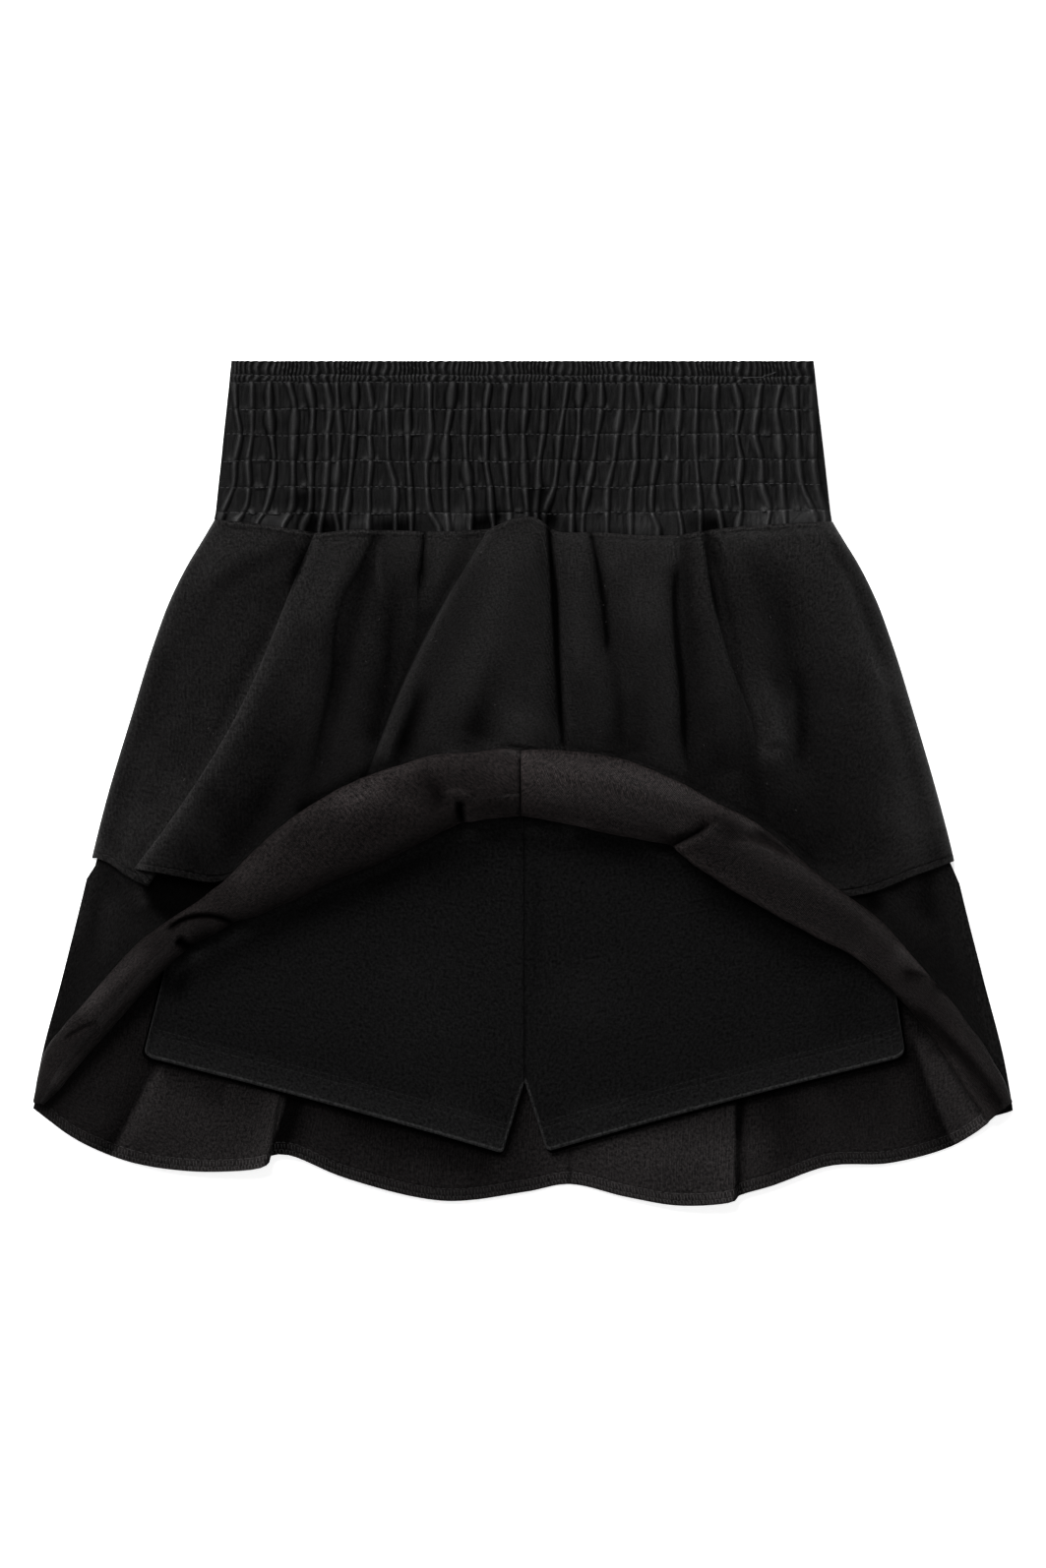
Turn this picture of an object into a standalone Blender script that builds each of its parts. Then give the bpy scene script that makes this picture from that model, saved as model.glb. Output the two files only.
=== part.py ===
"""A two-tier skort laid flat, its front hem rolled up over the shorts beneath.

X runs across the garment, +Y to the waistband and +Z up from the surface that it lies on.
Sizes and tables are in millimetres, and wall() writes each mesh in metres.
"""

import math
from collections import namedtuple

import bpy
import numpy as np

MM = 0.001

# ---- driving dimensions ----
BAND_TOP_Y = 215.0  # the band's upper edge; the lowest hem lies at -215
BAND_TOP_HALF = 148.0
TIER_WALL = 1.2  # knit of both tiers, and the woven band
SHORTS_WALL = 1.0
GAP = 0.3  # between layers, and across each seam
CENTRE_X = -1.0  # the centre-front seam of the lower tier
CROTCH_X = 1.0  # the centre seam of the shorts

BAND_GATHERS = 33
HEADER_RUFFLES = 66
BAND_STEPS = 4  # points to each gather
BAND_WALL = 1.1  # the band's cloth between its gathers
BAND_WAVE = 1.1  # half the height of a gather
HEADER_WAVE = 0.75
BAND_BACK_WAVE = 0.7
PINCH = 0.6  # what a row of stitching leaves of a gather's height
BAND_LOW_Y = 130.0
BAND_FRONT_Z = (3.2, 4.4)  # the front's plain side, at its top and at the seam

# cloth: its colour and its roughness
KNIT = ((0.020, 0.0175, 0.017), 0.85)
KNIT_BACK = ((0.023, 0.020, 0.019), 0.88)
JERSEY = ((0.010, 0.010, 0.010), 0.8)
WOVEN = ((0.018, 0.017, 0.018), 0.55)

# heights of the stacked layers' middles above the surface
UPPER_BACK_Z = TIER_WALL / 2
LOWER_BACK_Z = UPPER_BACK_Z + TIER_WALL + GAP
SHORTS_BACK_Z = LOWER_BACK_Z + TIER_WALL / 2 + GAP + SHORTS_WALL / 2
SHORTS_FRONT_Z = SHORTS_BACK_Z + SHORTS_WALL + GAP
LOWER_FRONT_Z = SHORTS_FRONT_Z + SHORTS_WALL / 2 + GAP + TIER_WALL / 2
ON_TOP = TIER_WALL + GAP  # from one tier layer's middle to the next one's
LAYER_DROP = ON_TOP  # the lower tier's back settles by this past the upper tier's hem
TIER_INSET = 3.0  # the lower tier's sides inside the upper tier's
CLEAR = 0.15  # more room under the upper tier's front, whose faces are the larger
WAIST_CORNER_Y = 134.0  # where the tiers' sides start, at the waist seam
HEM_ROWS_Y = (-40.5, -48.2)  # rows of the lower tier just above and below the upper one's hem
BACK_HEM_SIDE_Y = -38.0  # the upper tier's back: its hem at the sides, and its dip in the middle
BACK_HEM_DIP = 28.0
BACK_HEM_HALF = 215.0
DROP_START = 14.0  # how far past that hem the lower tier's back settles, and over how far
DROP_OVER = 45.0
LEG_MARGIN = (9.0, 13.0)  # the lower front lies this high so far outside the shorts, waist and hem
LEG_MARGIN_Y = (125.0, -25.0)

# ---- tables ----
Side = namedtuple("Side", "y left right")
SIDES = [  # the silhouette's sides, from the waist seam to the lower tier's corners
    Side(134, -155, 155.5),
    Side(123, -160.5, 162),
    Side(103, -172.5, 174.5),
    Side(79, -184, 185.6),
    Side(25, -201, 203),
    Side(-31, -216.3, 217.6),
    Side(-50, -220, 220.5),
    Side(-100, -230.8, 232.8),
    Side(-163, -249, 249.2),
]

Seam = namedtuple("Seam", "x y")
WAIST_SEAM = [  # where the tiers are gathered into the band
    Seam(-155, 134.2),
    Seam(-112, 128.5),
    Seam(-104, 127),
    Seam(-92, 128.2),
    Seam(-30, 128.2),
    Seam(-16, 129.5),
    Seam(-5, 134),
    Seam(8, 134),
    Seam(15, 129),
    Seam(35, 127.6),
    Seam(78, 126),
    Seam(95, 128.6),
    Seam(155.5, 133.2),
]

HIDDEN_SEAM_X = [-155, -104, 78, 155.5]
HIDDEN_SEAM_Y = [134.2, 127, 126, 133.2]

# Lines down the upper tier's front: x at the waist seam, at MID_Y and at the lower edge, with
# the height above the layer beneath at those places. A line whose low_y is None ends under the
# roll. Pleat A's own lines stand where the table has None.
MID_Y = 40.0
Line = namedtuple("Line", "name waist_x mid_x low_x low_y waist_rise mid_rise low_rise")
UPPER_LINES = [
    Line("left panel", -131, -171, -205.2, -43.8, 0.2, 0.8, 0.2),
    None,
    Line("pleat A hollow", -92, -128, -176, -46.8, 3.8, 3.2, 2.6),
    Line("panel B crest", -86, -112, -156, -49.8, 3.8, 3.6, 1.6),
    Line("valley B shoulder", -79, -106, -133, None, 2.8, 2.8, 1.8),
    Line("valley B", -72.5, -96, -117, None, 0.2, 0.4, 0.2),
    Line("panel C crest", -66, -87, -103, None, 1.8, 1.1, 0.8),
    Line("gather C left", -52, -77.5, -93, None, 2.0, 0.8, 0.8),
    Line("gather C", -49, -74.8, -90, None, 0.2, 0.3, 0.4),
    Line("gather C right", -45.5, -72.6, -87.5, None, 2.0, 0.4, 0.2),
    Line("panel D foot", -18, -70.5, -84, None, 1.2, 0.0, 0.0),
    Line("ridge D edge", -16, -68, -80.5, None, 3.4, 2.8, 2.4),
    Line("ridge D crest", -13.5, -65, -77, None, 5.2, 4.8, 4.2),
    Line("ridge D back", -10, -59.5, -70, None, 5.6, 4.0, 1.4),
    Line("bulge E flank", -5, -43, -52, None, 5.8, 4.4, 1.8),
    Line("bulge E hollow", 1, -25, -31, None, 6.0, 4.4, 0.8),
    Line("bulge E crest", 6, -3, -9, None, 6.0, 6.2, 4.4),
    Line("bulge E shoulder", 11, 16.4, 18.6, None, 4.8, 4.6, 3.0),
    Line("line F", 13.5, 19.2, 21.5, None, 1.0, 2.0, 1.0),
    Line("panel F edge", 15.6, 21.6, 24, None, 2.4, 3.0, 2.0),
    Line("panel F crest", 26, 35, 37, None, 3.2, 3.0, 2.0),
    Line("gather G", 34.5, 47, 49, None, 0.8, 2.0, 0.9),
    Line("gather G right", 39.5, 53, 57, None, 3.0, 2.8, 1.8),
    Line("panel H crest", 63, 67, 69, None, 4.0, 4.2, 2.8),
    Line("valley H shoulder", 74.5, 77, 79, None, 3.8, 3.8, 2.2),
    Line("valley H", 81, 84, 86, None, 0.8, 0.8, 0.4),
    Line("panel I crest", 88.5, 101, 107, None, 2.4, 2.6, 1.4),
    Line("crease I", 92.8, 112.5, 123, None, 0.6, 1.2, 0.4),
    Line("crease I right", 97, 117, 128, None, 2.2, 2.0, 0.6),
    Line("ridge J", 112, 130, 141, None, 2.6, 2.6, 0.5),
    Line("hollow J", 121, 141, 152, None, 1.2, 0.7, 0.3),
    Line("right panel inner", 134, 162, 175, -55.7, 1.0, 0.9, 0.3),
    Line("right panel outer", 146, 182, 199, -46.7, 0.4, 0.6, 0.2),
]

# Pleat A overlaps to the left: its folded edge, and steps from that edge to the right.
PLEAT_A_EDGE = Line("pleat A edge", -105.7, -146, -196.8, -43.4, 1.0, 1.0, 1.0)
PleatStep = namedtuple("PleatStep", "name over low_y rise")
PLEAT_A = [
    PleatStep("foot", -4.5, -46.5, 0.0),
    PleatStep("under layer", 4.6, -51.6, 0.1),
    PleatStep("under turn", 6.4, -52.4, 0.9),
    PleatStep("back from the turn", 4.6, -50.2, 1.7),
    PleatStep("inner layer", 1.4, -45.8, 1.8),
    PleatStep("edge", 0.0, -43.4, 2.65),
    PleatStep("over the edge", 1.6, -43.6, 3.55),
    PleatStep("lip", 4.6, -44.1, 3.9),
    PleatStep("lip back", 8.5, -44.7, 3.4),
]
UPPER_CORNER_LEFT = (-216.9, -37.0)
UPPER_CORNER_RIGHT = (218.3, -39.3)

ROLL_CORNER_X = 235.0  # the roll's upper edge is read by x up to here

# Sections across the rolled hem, from the centre-front seam out to the side seam: its edge
# toward the waist, its edge toward the hem, and the height of its top.
Section = namedtuple("Section", "up_x up_y low_x low_y top")
ROLL_LEFT = [
    Section(-1.5, 16.6, -1.0, -16.3, 20.5),
    Section(-6, 17.2, -5, -16.6, 22),
    Section(-25.5, 15.9, -19, -18.2, 22),
    Section(-45, 14.2, -34, -20.8, 21),
    Section(-65.5, 8.3, -50.5, -27, 22.5),
    Section(-89.5, -0.9, -72, -38.8, 24),
    Section(-116.5, -17.3, -97, -49.4, 22.5),
    Section(-138.5, -36.4, -118.5, -60.3, 20),
    Section(-152, -49.8, -135, -67, 18),
    Section(-165.5, -60.3, -150.5, -73.3, 17),
    Section(-183, -71.8, -167, -82.4, 16),
    Section(-197, -82.6, -181, -93.8, 15),
    Section(-214.5, -102.3, -200, -114.6, 13.5),
    Section(-233, -123.5, -218.5, -135.5, 11.5),
    Section(-240.5, -134.2, -229, -147.6, 10.5),
    Section(-245.2, -149.5, -236.6, -156.6, 9),
    Section(-249, -161.8, -243, -163, 7.2),
]
ROLL_RIGHT = [
    Section(-1.5, 16.6, -1.0, -16.3, 20.5),
    Section(4, 17.0, 3, -16.8, 22),
    Section(26, 16.3, 21, -19.3, 23),
    Section(53, 11.4, 42.5, -24, 23),
    Section(73.5, 3.4, 58.5, -28.3, 21.5),
    Section(94, -7.2, 77, -32.8, 17.5),
    Section(104, -12.6, 87, -38.4, 20.5),
    Section(121, -21.6, 102.5, -47.4, 20),
    Section(134.5, -32.6, 115, -54.2, 18.5),
    Section(149.5, -45.6, 131, -63, 17),
    Section(168.5, -59.6, 151.5, -75.2, 16),
    Section(183, -71.2, 167, -84.6, 14.5),
    Section(202, -92.3, 186.5, -103.9, 14.0),
    Section(219, -112.3, 203.5, -123.8, 12.5),
    Section(234.5, -133.4, 216.5, -142, 11.5),
    Section(242.5, -148.5, 226, -156.4, 10.5),
    Section(248.9, -161.5, 236.5, -171, 9.4),
]

# Creases and dents pressed into the roll: how far out along it from the centre (0 to 1), the
# angle round it (90 its lower edge, 180 its top, 270 its upper edge), depth, and reach both ways.
Dent = namedtuple("Dent", "along angle depth along_reach angle_reach skew")
DENTS_LEFT = [
    Dent(0.115, 122, 2.6, 0.018, 34, 0.0),
    Dent(0.235, 170, 1.6, 0.05, 40, 0.0),
    Dent(0.56, 128, 2.2, 0.02, 70, 0.02),
    Dent(0.64, 150, 1.6, 0.02, 60, 0.02),
    Dent(0.72, 200, 1.0, 0.03, 60, 0.0),
]
DENTS_RIGHT = [
    Dent(0.10, 225, 1.0, 0.012, 40, 0.02),
    Dent(0.305, 125, 3.2, 0.024, 60, -0.035),
    Dent(0.40, 215, 2.2, 0.05, 34, 0.0),
    Dent(0.62, 140, 1.0, 0.03, 60, 0.0),
    Dent(0.80, 190, 1.0, 0.02, 60, 0.02),
]

# Lines down the lower tier's back below BACK_LINES_Y: x there and at the hem, the hem's y,
# and the height there and at the hem.
BACK_LINES_Y = -125.0
BACK_FLAT_Y = -70.0  # above this the lower tier's back is flat
FLUTE_CURL = 3.6  # how late the flutes rise on their way to the hem
BackLine = namedtuple("BackLine", "name line_x hem_x hem_y line_rise hem_rise")
BACK_LINES = [
    BackLine("left side", -238.5, -249, -163, 0, 0),
    BackLine("left corner", -218, -228, -176.8, 0.2, 1.6),
    BackLine("flute 1 crease", -179, -206, -184.6, 0, 0.4),
    BackLine("flute 1", -163, -187.5, -195.2, 0.4, 2.8),
    BackLine("flute 1 high", -140, -158, -197.4, 0.8, 5.2),
    BackLine("flute 1 edge", -116.5, -131, -193.6, 1.0, 7.4),
    BackLine("flute 1 foot", -114.5, -129, -189, 0.1, 4.2),
    BackLine("after flute 1", -106, -119, -187.6, 0, 3.6),
    BackLine("dip", -80, -90, -197, 0, 2.8),
    BackLine("middle wave", -36, -40, -211.4, 0.2, 1.8),
    BackLine("middle", -2, 2, -207, 0, 0.8),
    BackLine("flute 2 crease", 22, 24, -204, 0, 0),
    BackLine("flute 2", 44, 53, -210.4, 0.4, 2.8),
    BackLine("flute 2 high", 70, 80, -214.6, 0.6, 5.2),
    BackLine("flute 2 edge", 106.8, 107.3, -212.2, 0.8, 7.6),
    BackLine("flute 2 foot", 108.6, 109.2, -210, 0.1, 4.4),
    BackLine("after flute 2", 122, 127, -201.6, 0, 3.6),
    BackLine("right dip", 146, 156, -193.4, 0, 2.4),
    BackLine("right wave", 172, 187, -193.2, 0, 1.4),
    BackLine("flute 3 crease", 203, 219.5, -181.4, 0, 0),
    BackLine("flute 3 edge", 216, 236, -173.4, 0.3, 2.6),
    BackLine("flute 3 foot", 217.5, 237.5, -171.8, 0, 0.8),
    BackLine("right side", 239.5, 249.2, -163, 0, 0),
]

Leg = namedtuple("Leg", "y left right")
SHORTS_SIDES = [  # the outer edges of the shorts
    Leg(126, -139, 139),
    Leg(80, -152, 152),
    Leg(30, -164, 165),
    Leg(-30, -172, 175),
    Leg(-92, -181, 187),
    Leg(-137, -192, 194),
]
CROTCH_Y = -150.7
LEG_HEM_OUTER_Y = -138.5
LEG_HEM_INNER = {"left": (-10.3, -187.6), "right": (12.8, -186.6)}
LEG_CORNER = 4.0
LEG_ROUND_OUTER = 0.026  # the rounded corners' share of the hem's width
LEG_ROUND_INNER = 0.014
BACK_LEG_BELOW = 2.0  # the back of a leg shows this far below its front

# the band's rows of stitching, which pinch the gathers
BAND_ROWS_Y = [136.8, 150.8, 163.8, 177.3, 190.3, 204.6]
HEADER_Y = 209.0


# ---- curves ----
def smooth(t):
    t = np.clip(t, 0.0, 1.0)
    return t * t * (3.0 - 2.0 * t)


def curve(t, knots, values):
    """A smooth curve through a table's values, read at t."""
    knots, values = np.asarray(knots, float), np.asarray(values, float)
    slopes = np.gradient(values, knots)
    i = np.clip(np.searchsorted(knots, t) - 1, 0, len(knots) - 2)
    span = knots[i + 1] - knots[i]
    s = np.clip((t - knots[i]) / span, 0.0, 1.0)
    bend = s * (1.0 - s)
    straight = (values[i + 1] - values[i]) / span
    ease = (slopes[i] - straight) * (1.0 - s) + (straight - slopes[i + 1]) * s
    return values[i] + straight * span * s + ease * bend * span


def table_curve(t, rows, knot, value):
    """curve() on two named columns of a table, in either order."""
    rows = sorted(rows, key=lambda row: getattr(row, knot))
    return curve(t, [getattr(r, knot) for r in rows], [getattr(r, value) for r in rows])


def across(lines, steps):
    """A sheet drawn smoothly across its lines (lines, points down each, 3), with a number of
    steps for each stretch. The spacing is by the root of the distance, so that it can't loop."""
    first = 2 * lines[0] - lines[1]
    last = 2 * lines[-1] - lines[-2]
    p = np.concatenate([first[None], lines, last[None]])
    far = np.sqrt(np.linalg.norm(np.diff(p, axis=0), axis=2)).clip(1e-3)
    knot = np.concatenate([np.zeros_like(far[:1]), np.cumsum(far, axis=0)])[..., None]
    columns = []
    for i, count in enumerate(steps):
        p0, p1, p2, p3 = p[i : i + 4]
        t0, t1, t2, t3 = knot[i : i + 4]
        for step in range(count):
            t = t1 + (t2 - t1) * step / count
            a = p0 + (p1 - p0) * (t - t0) / (t1 - t0)
            b = p1 + (p2 - p1) * (t - t1) / (t2 - t1)
            c = p2 + (p3 - p2) * (t - t2) / (t3 - t2)
            d = a + (b - a) * (t - t0) / (t2 - t0)
            e = b + (c - b) * (t - t1) / (t3 - t1)
            columns.append(d + (e - d) * (t - t1) / (t2 - t1))
    columns.append(lines[-1])
    return np.stack(columns)


def steps_between(lines, longest):
    """How many steps each stretch between lines takes, none longer than this."""
    middle = lines.shape[1] // 2
    far = np.linalg.norm(np.diff(lines[:, middle], axis=0), axis=1)
    return [max(1, math.ceil(d / longest)) for d in far]


# ---- outlines and heights ----
def left_side(y):
    return table_curve(y, SIDES, "y", "left")


def right_side(y):
    return table_curve(y, SIDES, "y", "right")


def seam_y(x):
    return table_curve(x, WAIST_SEAM, "x", "y")


def hidden_seam_y(x):
    """The upper edge of the layers that the upper tier's front hides, clear of the band."""
    return np.interp(x, HIDDEN_SEAM_X, HIDDEN_SEAM_Y) - 2.2


def tier_inset(y):
    """How far inside the silhouette the lower tier's sides are: nothing below the upper hem."""
    return TIER_INSET * smooth((y - HEM_ROWS_Y[1]) / (HEM_ROWS_Y[0] - HEM_ROWS_Y[1]))


def upper_back_hem(x):
    return BACK_HEM_SIDE_Y - BACK_HEM_DIP * smooth(1.0 - np.abs(x) / BACK_HEM_HALF)


def lower_back_z(x, y):
    """The lower tier's back lies on the upper tier's back, and past its hem on the floor."""
    past = upper_back_hem(x) - DROP_START - y
    return LOWER_BACK_Z - LAYER_DROP * smooth(past / DROP_OVER)


def lower_front_z(x, y):
    """The lower tier's front lies on the shorts, and beside them on the lower tier's back."""
    inset = tier_inset(y)
    from_left = x - left_side(y) - inset
    from_right = right_side(y) - inset - x
    legs_left = table_curve(y, SHORTS_SIDES, "y", "left") - left_side(y) - inset
    legs_right = right_side(y) - inset - table_curve(y, SHORTS_SIDES, "y", "right")
    down = (LEG_MARGIN_Y[0] - y) / (LEG_MARGIN_Y[0] - LEG_MARGIN_Y[1])
    margin = LEG_MARGIN[0] + (LEG_MARGIN[1] - LEG_MARGIN[0]) * smooth(down)
    lift = smooth((from_left - 1.0) / (legs_left - margin - 1.0).clip(2.0))
    lift = lift * smooth((from_right - 1.0) / (legs_right - margin - 1.0).clip(2.0))
    beside = lower_back_z(x, y + DROP_START) + ON_TOP
    return beside + (LOWER_FRONT_Z - beside) * lift


def roll_upper_y(x):
    """The roll's edge toward the waist."""
    rows = [s for s in ROLL_LEFT + ROLL_RIGHT[1:] if abs(s.up_x) < ROLL_CORNER_X]
    return table_curve(x, rows, "up_x", "up_y")


# ---- meshes ----
def fabric(name, colour):
    shade, roughness = colour
    material = bpy.data.materials.new(name)
    material.use_nodes = True
    shader = material.node_tree.nodes["Principled BSDF"]
    shader.inputs["Base Color"].default_value = (shade[0], shade[1], shade[2], 1.0)
    shader.inputs["Roughness"].default_value = roughness
    shader.inputs["Metallic"].default_value = 0.0
    return material


def normals(mid):
    down = np.gradient(mid, axis=1)
    over = np.gradient(mid, axis=0)
    n = np.cross(down, over)
    return n / np.linalg.norm(n, axis=2, keepdims=True).clip(1e-9)


def wall(name, mid, thickness, colour, square_end=None):
    """A closed wall round a sheet's middle, mid (columns, rows, 3) in millimetres. At a square
    end, a column number, it is cut off straight down, for a seam that meets another piece."""
    n = normals(mid)
    if square_end is not None:
        n[square_end, :, 0] = 0.0
        n[square_end] /= np.linalg.norm(n[square_end], axis=1, keepdims=True)
    over, under = mid + n * thickness / 2, mid - n * thickness / 2
    under[..., 2] = under[..., 2].clip(0.0)
    columns, rows = mid.shape[:2]
    points = np.concatenate([over.reshape(-1, 3), under.reshape(-1, 3)]) * MM
    below = columns * rows
    faces = []

    def at(i, j):
        return i * rows + j

    for i in range(columns - 1):
        for j in range(rows - 1):
            ring = (at(i, j), at(i, j + 1), at(i + 1, j + 1), at(i + 1, j))
            faces.append(ring)
            faces.append(tuple(k + below for k in reversed(ring)))
    edge = [at(i, 0) for i in range(columns)]
    edge += [at(columns - 1, j) for j in range(1, rows)]
    edge += [at(i, rows - 1) for i in range(columns - 2, -1, -1)]
    edge += [at(0, j) for j in range(rows - 2, 0, -1)]
    for a, b in zip(edge, edge[1:] + edge[:1]):
        faces.append((a, b, b + below, a + below))
    return solid(name, points, faces, colour)


def relief(name, over, under_z, colour):
    """A closed wall with a raised outer side, over (columns, rows, 3) in millimetres, and a
    plain inner side, under_z (columns, 2) at the first and the last row."""
    columns, rows = over.shape[:2]
    under = over[:, [0, -1]].copy()
    under[..., 2] = under_z
    points = np.concatenate([over.reshape(-1, 3), under.reshape(-1, 3)]) * MM
    below = columns * rows
    faces = []
    for i in range(columns - 1):
        a, b = i * rows, (i + 1) * rows
        for j in range(rows - 1):
            faces.append((a + j, a + j + 1, b + j + 1, b + j))
        c, d = below + 2 * i, below + 2 * i + 2
        faces.append((c, d, d + 1, c + 1))
        faces.append((a, b, d, c))
        faces.append((b + rows - 1, a + rows - 1, c + 1, d + 1))
    last, far = (columns - 1) * rows, below + 2 * columns - 2
    for j in range(rows - 1):
        faces.append((j + 1, j, below))
        faces.append((last + j, last + j + 1, far))
    faces.append((rows - 1, below, below + 1))
    faces.append((last + rows - 1, far + 1, far))
    return solid(name, points, faces, colour)


def solid(name, points, faces, colour):
    mesh = bpy.data.meshes.new(name)
    mesh.from_pydata(points.tolist(), [], faces)
    mesh.shade_smooth()
    mesh.set_sharp_from_angle(angle=math.radians(50))
    mesh.materials.append(fabric(name + "_cloth", colour))
    piece = bpy.data.objects.new(name, mesh)
    bpy.context.scene.collection.objects.link(piece)
    return piece


# ---- waistband ----
def band_rows(puff_rows):
    """The band's rows from top to seam: the share of the way up, how far the cloth puffs out
    there, and whether it is header."""
    rows = [(BAND_TOP_Y, 1.0, 1.0), (HEADER_Y, 0.6, 1.0)]
    below = BAND_ROWS_Y[::-1]
    for i, y in enumerate(below):
        rows.append((y, PINCH, 0.0))
        if puff_rows and i + 1 < len(below):
            rows.append(((y + below[i + 1]) / 2, 1.0, 0.0))
    rows.append((BAND_LOW_Y, 0.7, 0.0))
    return rows


def band(name, rows, under_z, wave, header_wave, colour):
    """Gathers run up the band, pinched at each row of stitching, and split into twice as many
    ruffles in its header. under_z is the plain side's height at the top and at the seam."""
    u = np.linspace(0.0, 1.0, BAND_GATHERS * BAND_STEPS + 1)
    turn = 2 * math.pi / BAND_STEPS
    phase = np.arange(len(u))[:, None] * turn
    row_y, puff, header = (np.array(values)[None] for values in zip(*rows))
    share = (row_y - BAND_LOW_Y) / (BAND_TOP_Y - BAND_LOW_Y)
    across_u = u[:, None]
    corner_left, corner_right = left_side(WAIST_CORNER_Y), right_side(WAIST_CORNER_Y)
    x_low = corner_left + (corner_right - corner_left) * across_u
    x = x_low + (BAND_TOP_HALF * (2 * across_u - 1) - x_low) * share
    y_low = seam_y(x_low) + GAP / 2
    y = y_low + (BAND_TOP_Y - y_low) * share
    ends = smooth(np.minimum(across_u, 1 - across_u) * BAND_GATHERS)
    uneven = 0.8 + 0.2 * np.sin(across_u * 41.0 + 1.0) * np.cos(across_u * 17.0 + share * 9.0)
    gather = (1 + np.sin(phase)) * wave * puff * uneven * (1 - header)
    ruffle = (1 + np.cos(phase * HEADER_RUFFLES / BAND_GATHERS)) * header_wave * puff * header
    lean = 1.3 * np.sin(across_u * 23.0) * np.sin(share * 7.0) * ends
    plain = under_z[1] + (under_z[0] - under_z[1]) * share
    z = plain + BAND_WALL + (gather + ruffle) * ends
    over = np.stack([x + lean, y, z], axis=2)
    relief(name, over, plain[:, [0, -1]] + np.zeros((len(u), 2)), colour)


def waistband_front():
    band("waistband_front", band_rows(True), BAND_FRONT_Z, BAND_WAVE, HEADER_WAVE, WOVEN)


def waistband_back():
    rows = band_rows(False)
    rows = rows[:2] + rows[3:-1:3] + rows[-1:]
    band("waistband_back", rows, (0.0, 0.0), BAND_BACK_WAVE, BAND_BACK_WAVE / 2, WOVEN)


# ---- upper tier ----
# beside the side seam: how far in, and the share of the way up from the back to the front
SIDE_TURN = [(0.62, 0.0), (0.7, 0.32), (1.9, 0.72), (4.6, 0.93), (9.0, 1.0)]
UNDER_ROLL = 9.0  # how far the upper tier's front runs on under the roll
ROLL_ON_FOLDS = 2.6  # the roll's height over the folds that it lies on
ROLL_ANGLE = 400.0  # how far the hem is rolled up, and how far where it is only folded over
FOLD_ANGLE = 300.0


def pleat_lines():
    """Pleat A's edge, and the steps of its fold beside it."""
    edge, lines = PLEAT_A_EDGE, []
    for step in PLEAT_A:
        lines.append(Line(
            step.name, edge.waist_x + step.over, edge.mid_x + step.over * 1.1,
            edge.low_x + step.over * 1.1, step.low_y, step.rise, step.rise, step.rise))
    return lines


def line_points(row, v):
    """The points down one line of the upper tier's front."""
    top_y = float(seam_y(row.waist_x)) - GAP
    low_y = row.low_y
    if low_y is None:
        low_y = float(roll_upper_y(row.low_x)) - UNDER_ROLL
    y = top_y + (low_y - top_y) * v
    mid_v = (top_y - MID_Y) / (top_y - low_y)
    shares = [
        float((x - left_side(at)) / (right_side(at) - left_side(at)))
        for x, at in ((row.waist_x, top_y), (row.mid_x, MID_Y), (row.low_x, low_y))
    ]
    x = left_side(y) + (right_side(y) - left_side(y)) * through_three(v, mid_v, shares)
    end_rise = row.low_rise if row.low_y is not None else min(row.low_rise, 1.0)
    rises = [row.waist_rise, row.mid_rise, row.low_rise, end_rise]
    rise = curve(v, [0.0, mid_v, 0.86, 1.0], rises)
    return np.stack([x, y, upper_base(x, y) + rise], axis=1)


def upper_front_grid(rows, longest):
    """The upper tier's front: lines from the waist seam down, and its sides turned down."""
    v = np.linspace(0.0, 1.0, rows)
    table = [row for row in UPPER_LINES if row is not None]
    at = UPPER_LINES.index(None)
    table[at:at] = pleat_lines()
    lines = [turned_side(v, step, UPPER_CORNER_LEFT, left_side, 1) for step in SIDE_TURN]
    lines += [line_points(row, v) for row in table]
    lines += [turned_side(v, step, UPPER_CORNER_RIGHT, right_side, -1) for step in SIDE_TURN[::-1]]
    lines = np.stack(lines)
    return across(lines, steps_between(lines, longest))


def upper_base(x, y):
    """The upper tier's front lies on the lower tier's, and clears its slopes at the sides."""
    inward = x - np.sign(x) * np.minimum(4.0, np.abs(x) * 0.1)
    return lower_front_z(inward, y) + ON_TOP + CLEAR


def through_three(v, mid_v, values):
    """The parabola through values at 0, mid_v and 1."""
    a, b, c = values
    low = (v - mid_v) * (v - 1.0) / mid_v
    mid = v * (v - 1.0) / (mid_v * (mid_v - 1.0))
    high = v * (v - mid_v) / (1.0 - mid_v)
    return a * low + b * mid + c * high


def turned_side(v, step, corner, side, inward):
    """A line beside the side seam, where the front turns down to the back."""
    inset, turn = step
    top_y = float(seam_y(side(WAIST_CORNER_Y) + inward * inset)) - GAP
    y = top_y + (corner[1] - inset * 0.35 - top_y) * v
    x = side(y) + inward * inset
    foot = UPPER_BACK_Z + TIER_WALL / 2 + GAP
    inside = side(y) + inward * SIDE_TURN[-1][0]
    return np.stack([x, y, foot + (upper_base(inside, y) - foot) * turn], axis=1)


def upper_tier_front():
    wall("upper_tier_front", upper_front_grid(13, 14.0), TIER_WALL, KNIT)


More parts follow.
